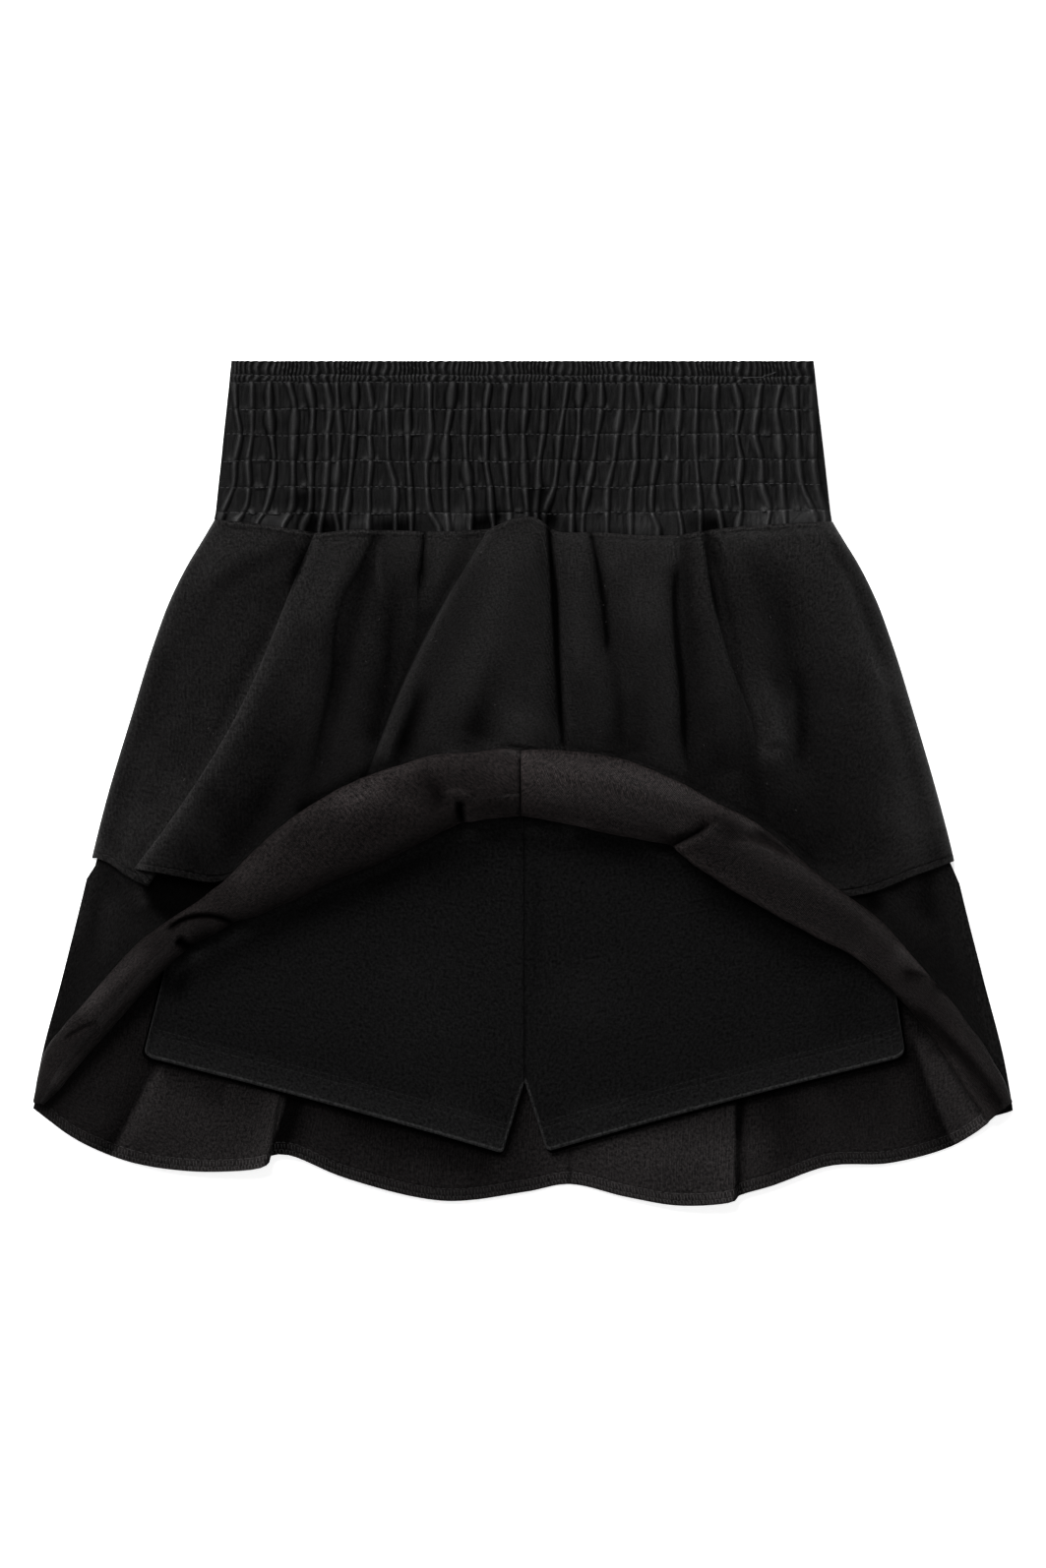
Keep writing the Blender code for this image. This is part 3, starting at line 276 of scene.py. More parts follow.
ROLL_CREASES = [
    # left half, from the centre seam out
    ([(-1, 20), (-1, 14)], -2.4, 1.6, 1.6, 0, 0.2),
    ([(-1.2, 20), (-1, -18)], -0.7, 0.9, 0.9),
    ([(-56, 7), (-48, 2), (-43.5, -3), (-42, -15)], -1.3, 5, 4.4, 0.3, 0.3),
    ([(-39, -6.5), (-33.5, -4.6), (-28, -6), (-26, -9.5)], 1.5, 1.8, 1.5, 0.2, 0.2),
    ([(-31.5, -9), (-31.8, -14), (-29.5, -19)], -4.2, 2.4, 1.3, 0.1, 0),
    ([(-24, -6), (-14, -4), (-6, -6)], 0.6, 5, 5, 0.3, 0.3),
    ([(-64, 4), (-78, -8), (-88, -18)], 0.7, 5, 5, 0.3, 0.3),
    ([(-60, -18), (-78, -28), (-92, -38)], -0.6, 4, 5, 0.3, 0.3),
    ([(-108, -18), (-118, -34), (-124, -48)], -0.9, 6, 5, 0.2, 0.2),
    ([(-132, -36), (-146, -52)], 0.7, 6, 5, 0.3, 0.3),
    # the turned lap at the left
    ([(-179.6, -73.7), (-171, -68.7), (-161, -66.9), (-152, -68), (-143.6, -71.8)], -3, 1.2, 1.6, 0.1, 0.2),
    ([(-178, -70.5), (-170, -66), (-160, -64), (-150, -65.6)], 0.9, 3, 1, 0.2, 0.3),
    ([(-175, -79), (-168, -83.6), (-160.6, -82)], -3.2, 2.4, 1.6, 0.1, 0.1),
    ([(-182, -97.3), (-205.7, -118.5), (-213.2, -128.4), (-241.8, -160.8)], -0.9, 1.6, 1.4, 0.2, 0.1),
    ([(-212, -119.7), (-223, -124), (-231.9, -129.7)], -1.2, 1.6, 1.2, 0.3, 0.1),
    ([(-190, -88), (-206, -103), (-222, -118)], 0.7, 3, 3, 0.3, 0.3),
    # right half
    ([(12.4, 9), (14, 4.6), (15.3, 0.5)], -0.7, 0.9, 0.7, 0.2, 0.3),
    ([(14.6, 9), (16.4, 4), (17.6, 0)], 0.5, 1.4, 0.9, 0.2, 0.3),
    ([(8, 7), (40, 5), (70, -3), (90, -12)], 0.7, 8, 6, 0.2, 0.3),
    ([(71, -34.5), (80, -30), (90.5, -24.6), (98.5, -18)], -4, 3.4, 0.8, 0.02, 0.35),
    ([(77, -34), (86, -29.6), (94, -24), (102, -17)], 1.2, 0.9, 2.6, 0.05, 0.3),
    ([(108, -24), (118, -26), (130, -33), (140, -40)], -2.2, 2.4, 3.4, 0.3, 0.3),
    ([(101, -33.5), (112.9, -30), (123, -32.5), (137, -39.7), (157, -54)], 1.7, 1.2, 4.5, 0.2, 0.4),
    ([(112, -17), (125.8, -24.5), (140, -38.5)], 0.8, 1.4, 1.6, 0.3, 0.3),
    ([(146, -47), (160, -58), (172, -66)], 0.6, 3, 4, 0.3, 0.3),
    ([(167.2, -61.8), (183, -78.9), (201.4, -90.7)], 1, 2.2, 2.4, 0.3, 0.3),
    ([(185.6, -93.3), (205.4, -98.6), (222.5, -111.8), (234.3, -128.9)], -1.8, 1.6, 2.4, 0.25, 0.2),
    ([(188.3, -103.9), (198.8, -117), (214.6, -134.1), (225.1, -144.6), (229.1, -153.9), (240, -166)],
     -0.8, 2.4, 2.4, 0.2, 0.1),
    ([(213, -118), (226, -134), (240, -154)], 0.8, 2.2, 3, 0.3, 0.2),
]
SIDE_CREASES = [
    ([(-210, -58), (-210.5, -80), (-212, -100)], 1, 5, 4, 0.2, 0.3),
    ([(-216.5, -60), (-219, -92)], -0.6, 2.4, 2, 0.2, 0.3),
    ([(-198, -52), (-196, -78)], -1.6, 6, 6, 0, 0.3),
    ([(-188, -46), (-172, -52), (-150, -60)], -0.4, 5, 8, 0, 0.2),
    ([(214, -52), (218, -80), (226, -104)], 0.8, 5, 5, 0.2, 0.3),
    ([(206, -50), (208, -78)], -1.2, 5, 5, 0, 0.3),
    ([(190, -52), (204, -72)], -1.4, 6, 5, 0, 0.3),
]
SHORTS_CREASES = [
    ([(-180.9, -97.3), (-186, -118), (-192, -134.6)], 0.5, 2.2, 2.2, 0.2, 0.2),
    ([(-163.5, -86.1), (-170, -100), (-176, -116)], -0.7, 3.5, 3.5, 0.2, 0.5),
    ([(-30, -60), (-28, -110)], 0.3, 9, 9, 0.4, 0.4),
    ([(60, -60), (66, -118)], 0.3, 10, 9, 0.4, 0.4),
    ([(-100, -70), (-112, -120)], -0.3, 9, 9, 0.4, 0.4),
    ([(176, -84), (184, -112)], -0.5, 4, 4, 0.3, 0.3),
]

# Painted light and shade, in the same form: here the height is how much lighter (above 0) or darker
# the cloth is painted, for shadows in folds, in pockets and under the roll, and light on ridges, panels
# and edges. The shorts' centre seam is a narrow dark line among them.
UPPER_TONES = [
    ([(-150, 122), (-104, 130), (-60, 128), (20, 130), (84, 128), (112, 132), (154, 130)], 0.4, 9, 16),
    ([(-100, 127), (-112, 100), (-126, 73), (-142, 44), (-157, 16), (-174, -10)], 0.42, 11, 3, 0, 0.2),
    ([(-160, 2), (-186, -16), (-206, -33)], 0.36, 13, 12, 0.3, 0.1),
    ([(-122, 130), (-150, 115), (-170, 95), (-186, 60)], 0.24, 6, 6, 0.1, 0.3),
    ([(-128, 95), (-145, 70), (-160, 38)], 0.16, 6, 6, 0.3, 0.3),
    ([(-112, 124), (-132, 114), (-150, 103), (-160, 88)], -0.28, 6, 6, 0.1, 0.5),
    ([(-105, 128), (-112, 109), (-120, 92)], -0.8, 1, 5, 0, 0.5),
    ([(-117, 97), (-132, 66), (-144.4, 40), (-157, 17), (-176, -12), (-197, -42)], 0.34, 3, 0.8, 0.3, 0),
    ([(-152, 34), (-166, 12), (-186, -14)], 0.24, 4, 9, 0.3, 0.3),
    ([(-156, 4), (-168, -22)], -0.2, 9, 7, 0.3, 0.3),
    ([(-96, 129), (-104, 100), (-114, 74)], 0.8, 9, 8, 0, 0.6),
    ([(-154, 46), (-163, 30)], 0.24, 6, 6, 0.3, 0.3),
    ([(-168, -2), (-196, -26)], 0.14, 9, 9, 0.2, 0.2),
    ([(-42, 12), (-22, 17), (-4, 20)], 0.4, 4, 4, 0.1, 0),
    ([(-49.5, 129), (-51.3, 108), (-53.4, 92)], -0.45, 1.6, 3.4, 0, 0.4),
    ([(-31, 108), (-40, 89), (-48, 74), (-55.5, 58.7), (-63.5, 41), (-70.4, 23), (-78, 5)],
     0.32, 1.8, 1, 0.1, 0),
    ([(50, 129), (50, 102)], 0.26, 7, 7, 0, 0.4),
    ([(74, 127), (72, 106)], 0.3, 4, 4, 0, 0.4),
    (GATHER_G, -0.44, 1.8, 1.8, 0, 0.2),
    ([(91.4, 128), (95.6, 99.4), (101.8, 73)], -0.4, 3.4, 1.6, 0, 0.4),
    ([(114, 126), (123, 100), (130, 66), (131, 34)], -0.3, 6, 6, 0.1, 0.2),
    ([(119, 16), (133, 17)], 0.5, 4, 4, 0.2, 0.2),
    ([(96, 46), (104, 4)], -0.18, 8, 8, 0.2, 0.1),
    ([(-218, -33), (-198, -44)], 0.4, 7, 5),
    ([(-112, 50), (-124, 14), (-135, -12), (-164, -40)], -0.32, 14, 15, 0.4, 0),
    (VALLEY_B, -0.26, 8, 5, 0, 0.6),
    ([(-66, 12), (-84, 2), (-100, -7), (-116, -17)], -0.4, 5, 5, 0.1, 0.1),
    ([(-64, 112), (-70, 64), (-80, 18)], -0.28, 6, 6, 0.2, 0.1),
    ([(-34, 130), (-42, 108), (-52, 84)], 0.42, 4, 6, 0.1, 0.3),
    ([(-64, 76), (-69, 46), (-80, 10)], -0.1, 3, 3, 0.2, 0.2),
    ([(-50, 58), (-57, 36), (-66, 9)], -0.25, 6, 2.4, 0.4, 0.3),
    ([(-8, 126), (-18, 84), (-32, 42), (-42, 12)], 0.34, 12, 12, 0.1, 0.1),
    ([(-16, 52), (-28, 16)], -0.2, 7, 6, 0.5, 0),
    ([(-3, 48), (-2, 18)], 0.34, 9, 10, 0.5, 0),
    ([(14, 129), (14.8, 116.7), (16.4, 101), (17, 63.6), (18.4, 16)], -0.45, 2, 5, 0, 0.2),
    ([(25, 128), (27, 84), (30, 46)], 0.3, 7, 5, 0, 0.3),
    ([(58, 128), (62, 104), (67, 62)], 0.46, 8, 14, 0, 0.5),
    ([(40, 74), (44, 28)], 0.14, 5, 6, 0.3, 0.2),
    ([(78.4, 116), (77.4, 95), (78.2, 78), (79.2, 63), (80.8, 46), (81.4, 26), (81, 6)],
     -0.5, 1.8, 3.6, 0.1, 0.2),
    ([(89, 116), (92, 76)], 0.2, 4, 4, 0.2, 0.4),
    ([(97, 128), (101, 106)], -0.3, 4, 4, 0, 0.5),
    ([(52, 50), (60, 14)], -0.2, 8, 8, 0.3, 0.1),
    ([(118, 131), (142, 116), (168, 80), (192, 44), (210, -6), (214, -36)], 0.28, 9, 17, 0, 0.1),
    ([(114, 66), (122, 40), (129, 19)], 0.34, 6, 8, 0.6, 0),
    ([(204, -38), (188, -10), (192, 8)], 0.14, 14, 14, 0.2, 0.4),
    ([(138, 66), (141, 36), (139, 4)], -0.2, 6, 2.4, 0.3, 0.3),
    ([(98, 30), (112, 0), (150, -30)], -0.24, 19, 17, 0.3, 0),
    ([(150, 44), (164, 0), (186, -36)], -0.12, 14, 16, 0.4, 0.1),
]
ROLL_TONES = [
    ([(-170, -88), (-150, -80), (-130, -69), (-100, -56), (-60, -38), (-34, -24)], 1.3, 3, 5),
    ([(-28, -19), (0, -18), (30, -22)], 1.1, 3, 5),
    ([(30, -22), (75, -33), (100, -48), (130, -67), (170, -88)], 0.6, 3, 5),
    ([(-134, -28), (-110, -14), (-80, 0), (-60, 9)], 0.3, 5, 7, 0.1, 0),
    ([(186, -82), (202, -92), (212, -104)], 0.5, 5, 6, 0.2, 0.2),
    ([(-181, -75), (-171, -68.7), (-161, -66.9), (-152, -68), (-143, -72)], -0.5, 1.1, 1.8, 0.1, 0.3),
    ([(-168, -78), (-156, -75)], -0.24, 5, 5, 0.3, 0.3),
    ([(-176, -79), (-168, -83.6), (-160, -82)], -0.8, 2.6, 2.2, 0.1, 0.1),
    ([(-186, -81), (-206, -98), (-229, -122)], 0.42, 4, 4, 0.2, 0.2),
    ([(-192, -107), (-214, -130), (-240, -158)], 0.4, 3, 3, 0.1, 0.1),
    ([(190, -95), (204, -99), (216, -108)], -0.4, 2.5, 5, 0.2, 0.3),
    ([(1, 9), (38, 6), (74, 1), (98, -11)], 0.8, 9, 14, 0, 0.2),
    ([(-62, 0), (-78, -6), (-98, -14)], 0.34, 9, 9, 0.3, 0.3),
    ([(-112, -28), (-132, -42), (-152, -54)], 0.26, 9, 8, 0.3, 0.3),
    ([(-62, 10), (-34, 16), (-2, 18)], 0.44, 6, 10),
    ([(-56, 6), (-47, 0), (-43, -6), (-43, -16)], -0.16, 5, 6, 0.4, 0.3),
    ([(-31.6, -9.5), (-31.6, -17)], -0.7, 2.2, 1.6, 0.2, 0),
    ([(-37, -8), (-33, -5.6), (-28.4, -7)], 0.26, 1.8, 1.5, 0.2, 0.2),
    ([(-22, -6), (-4, -8)], -0.14, 9, 9, 0.4, 0.2),
    ([(104, -30), (146, -48), (176, -68), (206, -92)], 0.18, 8, 4, 0.2, 0.1),
    ([(84, -5), (104, -14), (124, -24)], 0.6, 4, 4, 0.2, 0.2),
    ([(98, -14), (112, -30)], -0.3, 6, 6, 0.2, 0.4),
    ([(-208, -100), (-226, -118)], 0.24, 6, 6, 0.3, 0.3),
    ([(-212, -120), (-236, -148)], -0.25, 2.4, 2.4, 0.2, 0.2),
    ([(-222, -136), (-240, -154)], 0.24, 5, 5, 0.3, 0.2),
    ([(194, -108), (216, -129), (230, -144), (242, -162)], -0.4, 2.5, 4, 0.2, 0),
    ([(198, -90), (212, -103), (230, -122)], 0.12, 4, 4, 0.1, 0.2),
    ([(214, -138), (224, -152), (235, -169)], 0.35, 4, 4, 0.1, 0),
    ([(-102, -14), (-80, -6), (-62, -8), (-46, -16)], 0.24, 4, 5, 0.2, 0.2),
    ([(84, -28), (104, -36), (146, -60), (176, -78)], -0.12, 8, 7, 0.1, 0.1),
]
POCKET_SHADE = ([(-180, -50), (-168, -58), (-150, -62)], -1.8, 7, 10)
SIDE_TONES = [
    POCKET_SHADE,
    ([(-196, -46), (-192, -64)], 0.5, 5, 5, 0, 0.2),
    ([(-219, -44), (-229, -86)], 0.34, 3, 4, 0, 0.3),
    ([(-208, -44), (-208, -62)], -0.22, 5, 5, 0, 0.4),
    ([(-207, -52), (-209, -100)], 0.16, 5, 5, 0, 0.4),
    ([(172, -52), (182, -66)], -0.4, 7, 7, 0, 0.3),
    ([(204, -48), (208, -76)], -0.24, 6, 6, 0, 0.4),
    ([(200, -76), (224, -118)], -0.14, 9, 8, 0.2, 0.3),
]
FLUTE_1_CREASE = [(-185, -140), (-196, -164), (-208, -186)]
FLUTE_3_CREASE = [(199, -128), (206, -150), (218, -180)]
BACK_TONES = [
    (FLUTE_1_CREASE, 0.3, 12, 0.9),
    (FLUTE_1_CREASE, -0.3, 0.9, 10),
    ([(-172, -166), (-160, -200)], 0.34, 26, 22),
    ([(-117, -150), (-121, -166), (-131, -196)], -0.62, 10, 0.8),
    ([(-121, -156), (-124, -170), (-133, -196)], 0.4, 0.8, 8),
    ([(-112, -160), (-60, -178), (-10, -194)], -0.3, 10, 12, 0.3, 0.1),
    ([(-4, -178), (-2, -212)], -0.14, 8, 10),
    ([(24.5, -178), (24, -212)], -0.5, 1, 1),
    ([(30, -188), (109, -190)], 0.6, 20, 24),
    ([(109, -154), (107.6, -214)], -0.9, 4, 0.7),
    ([(128, -156), (130, -200)], -0.26, 12, 12),
    ([(150, -158), (190, -152)], -0.16, 12, 14, 0.2, 0.2),
    (FLUTE_3_CREASE, 0.5, 13, 0.8, 0.1, 0),
    (FLUTE_3_CREASE, -0.34, 0.8, 9, 0.1, 0),
    ([(212, -136), (219, -151), (232, -175)], 0.55, 7, 6, 0.1, 0),
    ([(-190, -152), (-206, -184)], 0.45, 7, 0.8),
    ([(-184, -146), (-150, -158)], -0.25, 6, 8, 0.1, 0.1),
]
SHORTS_TONES = [
    ([(-190, -62), (-172, -54), (-150, -50)], -1.2, 12, 9),
    ([(-176, -96), (-160, -86), (-130, -70), (-100, -58), (-60, -39), (-30, -22), (0, -19), (40, -24),
     (75, -33), (120, -62), (170, -89)], -0.23, 6, 15),
    ([(1, -22), (1, -151)], -0.34, 0.9, 0.9),
    ([(-178, -93), (-150, -77), (-110, -58), (-80, -46), (-50, -32), (-20, -21), (24, -23)], 1, 2, 4.5),
    ([(24, -23), (40, -26), (60, -31), (84, -42)], 0.5, 2, 4, 0, 0.3),
    ([(84, -50), (120, -72), (164, -98)], -0.12, 4, 12, 0.2, 0.2),
    ([(-50, -52), (-14, -36)], -0.1, 6, 14, 0.2, 0.3),
    ([(-172, -92), (-176, -116)], -0.2, 4, 5, 0, 0.5),
    ([(7, -40), (6, -120)], -0.12, 3, 3, 0.1, 0.4),
    ([(-60, -80), (-40, -140)], 0.1, 34, 26, 0.3, 0.3),
    ([(30, -84), (40, -130)], 0.12, 22, 20, 0.3, 0.3),
    ([(160, -100), (166, -130)], -0.1, 14, 14, 0.3, 0.3),
    ([(-20, -168), (-50, -160)], 0.16, 6, 8, 0.3, 0.3),
    ([(20, -170), (60, -160)], 0.14, 7, 6, 0.2, 0.3),
]
BAND_TONES = [
    ([(-151, 135), (-119, 134)], 0.3, 3, 4, 0.1, 0.1),
    ([(-92, 132), (-76, 133)], 0.35, 3, 3, 0.2, 0.2),
    ([(-45, 133), (-25, 133)], 0.35, 4, 4, 0.1, 0.1),
    ([(25, 132), (80, 132)], 0.3, 3, 3, 0.1, 0.1),
    ([(106, 133), (151, 136)], 0.3, 3, 4, 0.1, 0.1),
    ([(-148, 211), (148, 211)], 0.2, 6, 6),
    ([(-150, 136), (150, 137)], 0.08, 6, 6),
    ([(-113, 150), (-107, 128)], -0.34, 6, 6, 0.2, 0),
    ([(8, 152), (12, 136)], -0.4, 5, 5, 0.2, 0),
    ([(-12, 133), (2, 133)], 0.4, 4, 4, 0.2, 0.2),
    ([(-150, 131), (-118, 130)], 0.24, 6, 5, 0.1, 0.2),
    ([(-38, 131), (-26, 134)], 0.34, 8, 5, 0.2, 0.2),
    ([(18, 130), (36, 129)], 0.2, 6, 5, 0.2, 0.2),
    ([(52, 129), (84, 130)], 0.4, 9, 5, 0.2, 0.2),
    ([(112, 133), (150, 135)], 0.4, 10, 5, 0.2, 0),
    ([(20, 175), (140, 175)], 0.08, 40, 40, 0.3, 0),
]


# ---- curves ----
def smooth(t):
    t = np.clip(t, 0.0, 1.0)
    return t * t * (3.0 - 2.0 * t)


def bell(t):
    return np.exp(-(t**2))


def curve(t, knots, values):
    """A smooth curve through a table's values, read at t."""
    knots, values = np.asarray(knots, float), np.asarray(values, float)
    slopes = np.gradient(values, knots)
    i = np.clip(np.searchsorted(knots, t) - 1, 0, len(knots) - 2)
    span = knots[i + 1] - knots[i]
    s = np.clip((t - knots[i]) / span, 0.0, 1.0)
    straight = (values[i + 1] - values[i]) / span
    ease = (slopes[i] - straight) * (1.0 - s) + (straight - slopes[i + 1]) * s
    return values[i] + straight * span * s + ease * s * (1.0 - s) * span


def table_curve(t, rows, knot, value):
    """curve() on two named columns of a table, in either order."""
    rows = sorted(rows, key=lambda row: getattr(row, knot))
    return curve(t, [getattr(r, knot) for r in rows], [getattr(r, value) for r in rows])


def run_along(points, axis=0):
    """How far along a line of points, or each of a grid's lines, every point lies."""
    steps = np.linalg.norm(np.diff(points, axis=axis), axis=-1)
    return np.concatenate([np.zeros_like(steps.take([0], axis)), np.cumsum(steps, axis)], axis)


def across(lines, longest):
    """A sheet drawn smoothly across its lines (lines, points down each, 3), in steps that are no
    longer than this. The spacing is by the root of the distance, so that it can't loop."""
    first, last = 2 * lines[0] - lines[1], 2 * lines[-1] - lines[-2]
    p = np.concatenate([first[None], lines, last[None]])
    far = np.sqrt(np.linalg.norm(np.diff(p, axis=0), axis=2)).clip(1e-3)
    knot = np.concatenate([np.zeros_like(far[:1]), np.cumsum(far, axis=0)])[..., None]
    stretches = np.linalg.norm(np.diff(lines[:, lines.shape[1] // 2], axis=0), axis=1)
    columns = []
    for i, stretch in enumerate(stretches):
        p0, p1, p2, p3 = p[i : i + 4]
        t0, t1, t2, t3 = knot[i : i + 4]
        count = max(1, math.ceil(stretch / longest))
        for step in range(count):
            t = t1 + (t2 - t1) * step / count
            a = p0 + (p1 - p0) * (t - t0) / (t1 - t0)
            b = p1 + (p2 - p1) * (t - t1) / (t2 - t1)
            c = p2 + (p3 - p2) * (t - t2) / (t3 - t2)
            d = a + (b - a) * (t - t0) / (t2 - t0)
            e = b + (c - b) * (t - t1) / (t3 - t1)
            columns.append(d + (e - d) * (t - t1) / (t2 - t1))
    return np.stack([*columns, lines[-1]])


def spaced(*stretches):
    """Shares from 0 to 1 in stretches of (end, number of steps)."""
    start, shares = 0.0, [0.0]
    for end, count in stretches:
        shares += list(np.linspace(start, end, count + 1)[1:])
        start = end
    return np.array(shares)


# ---- outlines and heights ----
def left_side(y):
    return table_curve(y, SIDES, "y", "left")


def right_side(y):
    return table_curve(y, SIDES, "y", "right")


def tier_x(y, share, inset=0.0):
    """x at this share of the way across a tier, from its left side to its right one."""
    left, right = left_side(y) + inset, right_side(y) - inset
    return left + (right - left) * share


def share_across(x, y):
    return float((x - left_side(y)) / (right_side(y) - left_side(y)))


def seam_y(x):
    return table_curve(x, WAIST_SEAM, "x", "y")


def hidden_seam_y(x):
    return np.interp(x, HIDDEN_SEAM_X, HIDDEN_SEAM_Y) - 2.2


def tier_inset(y):
    return TIER_INSET * smooth((y - HEM_ROWS_Y[1]) / (HEM_ROWS_Y[0] - HEM_ROWS_Y[1]))


def upper_back_hem(x):
    return BACK_HEM_SIDE_Y - BACK_HEM_DIP * smooth(1.0 - np.abs(x) / BACK_HEM_HALF)


def lower_back_z(x, y):
    """The lower tier's back lies on the upper tier's back, and past its hem on the floor."""
    return LOWER_BACK_Z - ON_TOP * smooth((upper_back_hem(x) - DROP_START - y) / DROP_OVER)


def lower_front_z(x, y):
    """The lower tier's front lies on the shorts, and beside them on the lower tier's back."""
    down = (LEG_MARGIN_Y[0] - y) / (LEG_MARGIN_Y[0] - LEG_MARGIN_Y[1])
    margin = LEG_MARGIN[0] + (LEG_MARGIN[1] - LEG_MARGIN[0]) * smooth(down)
    lift = 1.0
    for side, column, inward in ((left_side(y), "left", 1), (right_side(y), "right", -1)):
        from_side = (x - side) * inward - tier_inset(y)
        leg = (table_curve(y, SHORTS_SIDES, "y", column) - side) * inward - tier_inset(y)
        lift = lift * smooth((from_side - 1.0) / (leg - margin - 1.0).clip(2.0))
    beside = lower_back_z(x, y + DROP_START) + ON_TOP
    return beside + (LOWER_FRONT_Z - beside) * lift


def roll_upper_y(x):
    rows = [s for s in ROLL_LEFT + ROLL_RIGHT[1:] if abs(s.up_x) < ROLL_CORNER_X]
    return table_curve(x, rows, "up_x", "up_y")


# ---- cloth meshes ----
DARKEST = 0.02  # the least tone of any cloth
SHARP_EDGE = math.radians(60)


def normals(mid):
    n = np.cross(np.gradient(mid, axis=1), np.gradient(mid, axis=0))
    return n / np.linalg.norm(n, axis=2, keepdims=True).clip(1e-9)


def cloth_uv(mid):
    """Metres across the cloth from its middle column and down it from its first row, so that a
    weave keeps its size and runs with the cloth."""
    u = run_along(mid)
    v = run_along(mid, 1).mean(axis=0)
    return np.stack([u - u[len(u) // 2], -np.broadcast_to(v, u.shape)], axis=2) * MM


def closed_mesh(name, points, faces, slots, uv, materials, tone):
    """A mesh of several arrays of faces, each with its own slot. Each point has its uv on the
    cloth and its tone: how light the cloth is painted there, for painted light and shade, with 0.5
    as the plain cloth."""
    corners = np.concatenate([f.ravel() for f in faces]).astype(np.int32)
    sizes = np.concatenate([np.full(len(f), f.shape[1]) for f in faces])
    starts = np.concatenate([[0], np.cumsum(sizes)[:-1]]).astype(np.int32)
    face_slots = np.concatenate([np.full(len(f), k) for f, k in zip(faces, slots)])
    mesh = bpy.data.meshes.new(name)
    mesh.vertices.add(len(points))
    mesh.vertices.foreach_set("co", (points * MM).astype(np.float32).ravel())
    mesh.loops.add(len(corners))
    mesh.loops.foreach_set("vertex_index", corners)
    mesh.polygons.add(len(starts))
    mesh.polygons.foreach_set("loop_start", starts)
    mesh.polygons.foreach_set("material_index", face_slots.astype(np.int32))
    for material in materials:
        mesh.materials.append(material)
    mesh.update(calc_edges=True)
    for layer_name, values in (("cloth", uv), ("tone", np.repeat(tone, 2).reshape(-1, 2))):
        layer = mesh.uv_layers.new(name=layer_name)
        layer.data.foreach_set("uv", values[corners].astype(np.float32).ravel())
    mesh.shade_smooth()
    mesh.set_sharp_from_angle(angle=SHARP_EDGE)
    piece = bpy.data.objects.new(name, mesh)
    bpy.context.scene.collection.objects.link(piece)
    return piece


def grid_faces(index):
    return np.stack([index[:-1, :-1], index[:-1, 1:], index[1:, 1:], index[1:, :-1]], axis=2).reshape(-1, 4)


def sheet_mesh(name, mid, thickness, materials, tone=0.5, square_end=None, sparse=3):
    """A closed thin shell round a sheet's middle, mid (columns, rows, 3): its right side in the
    first material, and its wrong side and edges in the last. The wrong side takes one in so
    many of the columns and rows."""
    n = normals(mid)
    if square_end is not None:
        n[square_end, :, 0] = 0.0
        n[square_end] /= np.linalg.norm(n[square_end], axis=1, keepdims=True)
    kept = np.ix_(*[sorted({*range(0, count, sparse), count - 1}) for count in mid.shape[:2]])
    under = (mid - n * thickness / 2)[kept]
    under[..., 2] = under[..., 2].clip(0.0)
    points = np.concatenate([(mid + n * thickness / 2).reshape(-1, 3), under.reshape(-1, 3)])
    index = np.arange(mid[..., 0].size).reshape(mid.shape[:2])
    below = np.arange(under[..., 0].size).reshape(under.shape[:2]) + index.size
    beneath = np.full(index.shape, -1)
    beneath[kept] = below
    ring = np.concatenate([index[:, 0], index[-1, 1:], index[-2::-1, -1], index[0, -2:0:-1]])
    ring_below = beneath.ravel()[ring]
    sides, low = [], ring_below[0]
    for k, corner in enumerate(ring):
        after = (k + 1) % len(ring)
        sides.append((corner, ring[after], low))
        if ring_below[after] >= 0:
            sides.append((ring[after], ring_below[after], low))
            low = ring_below[after]
    faces = [grid_faces(index), grid_faces(below)[:, ::-1], np.array(sides)]
    uv = cloth_uv(mid)
    uv = np.concatenate([uv.reshape(-1, 2), uv[kept].reshape(-1, 2)])
    tone = np.broadcast_to(tone, index.shape)
    tone = np.concatenate([tone.ravel(), tone[kept].ravel()])
    last = len(materials) - 1
    return closed_mesh(name, points, faces, [0, last, last], uv, materials, tone)


def softened(values, times):
    """Values of a grid, averaged with their neighbours so many times."""
    for _ in range(2 * times):
        padded = np.pad(values, ((1, 1), (0, 0)), mode="edge")
        values = ((padded[:-2] + padded[2:]) / 4 + values / 2).T
    return values


def painted_relief_shade(z, broad=0.12):
    """Painted light and shade from form: ridges above their surroundings get painted light, and troughs
    painted shade.
    """
    fine, wide = softened(z, 40), softened(z, 400)
    return 0.5 + 0.12 * np.tanh((z - fine) / 0.5) + broad * np.tanh((z - wide) / 1.6)


def ripple(mid, *kinds):
    """Smooth noise over a sheet, a sum of kinds of (height, size of its lumps, seed)."""
    total = 0.0
    for height, size, seed in kinds:
        values = [noise.noise(Vector((x, y, seed))) for x, y, z in mid.reshape(-1, 3) / size]
        total = total + height * np.array(values).reshape(mid.shape[:2])
    return total


CREASE_STEPS = 24
CREASE_REACH = 2.6  # a crease is left out this many times its spread away


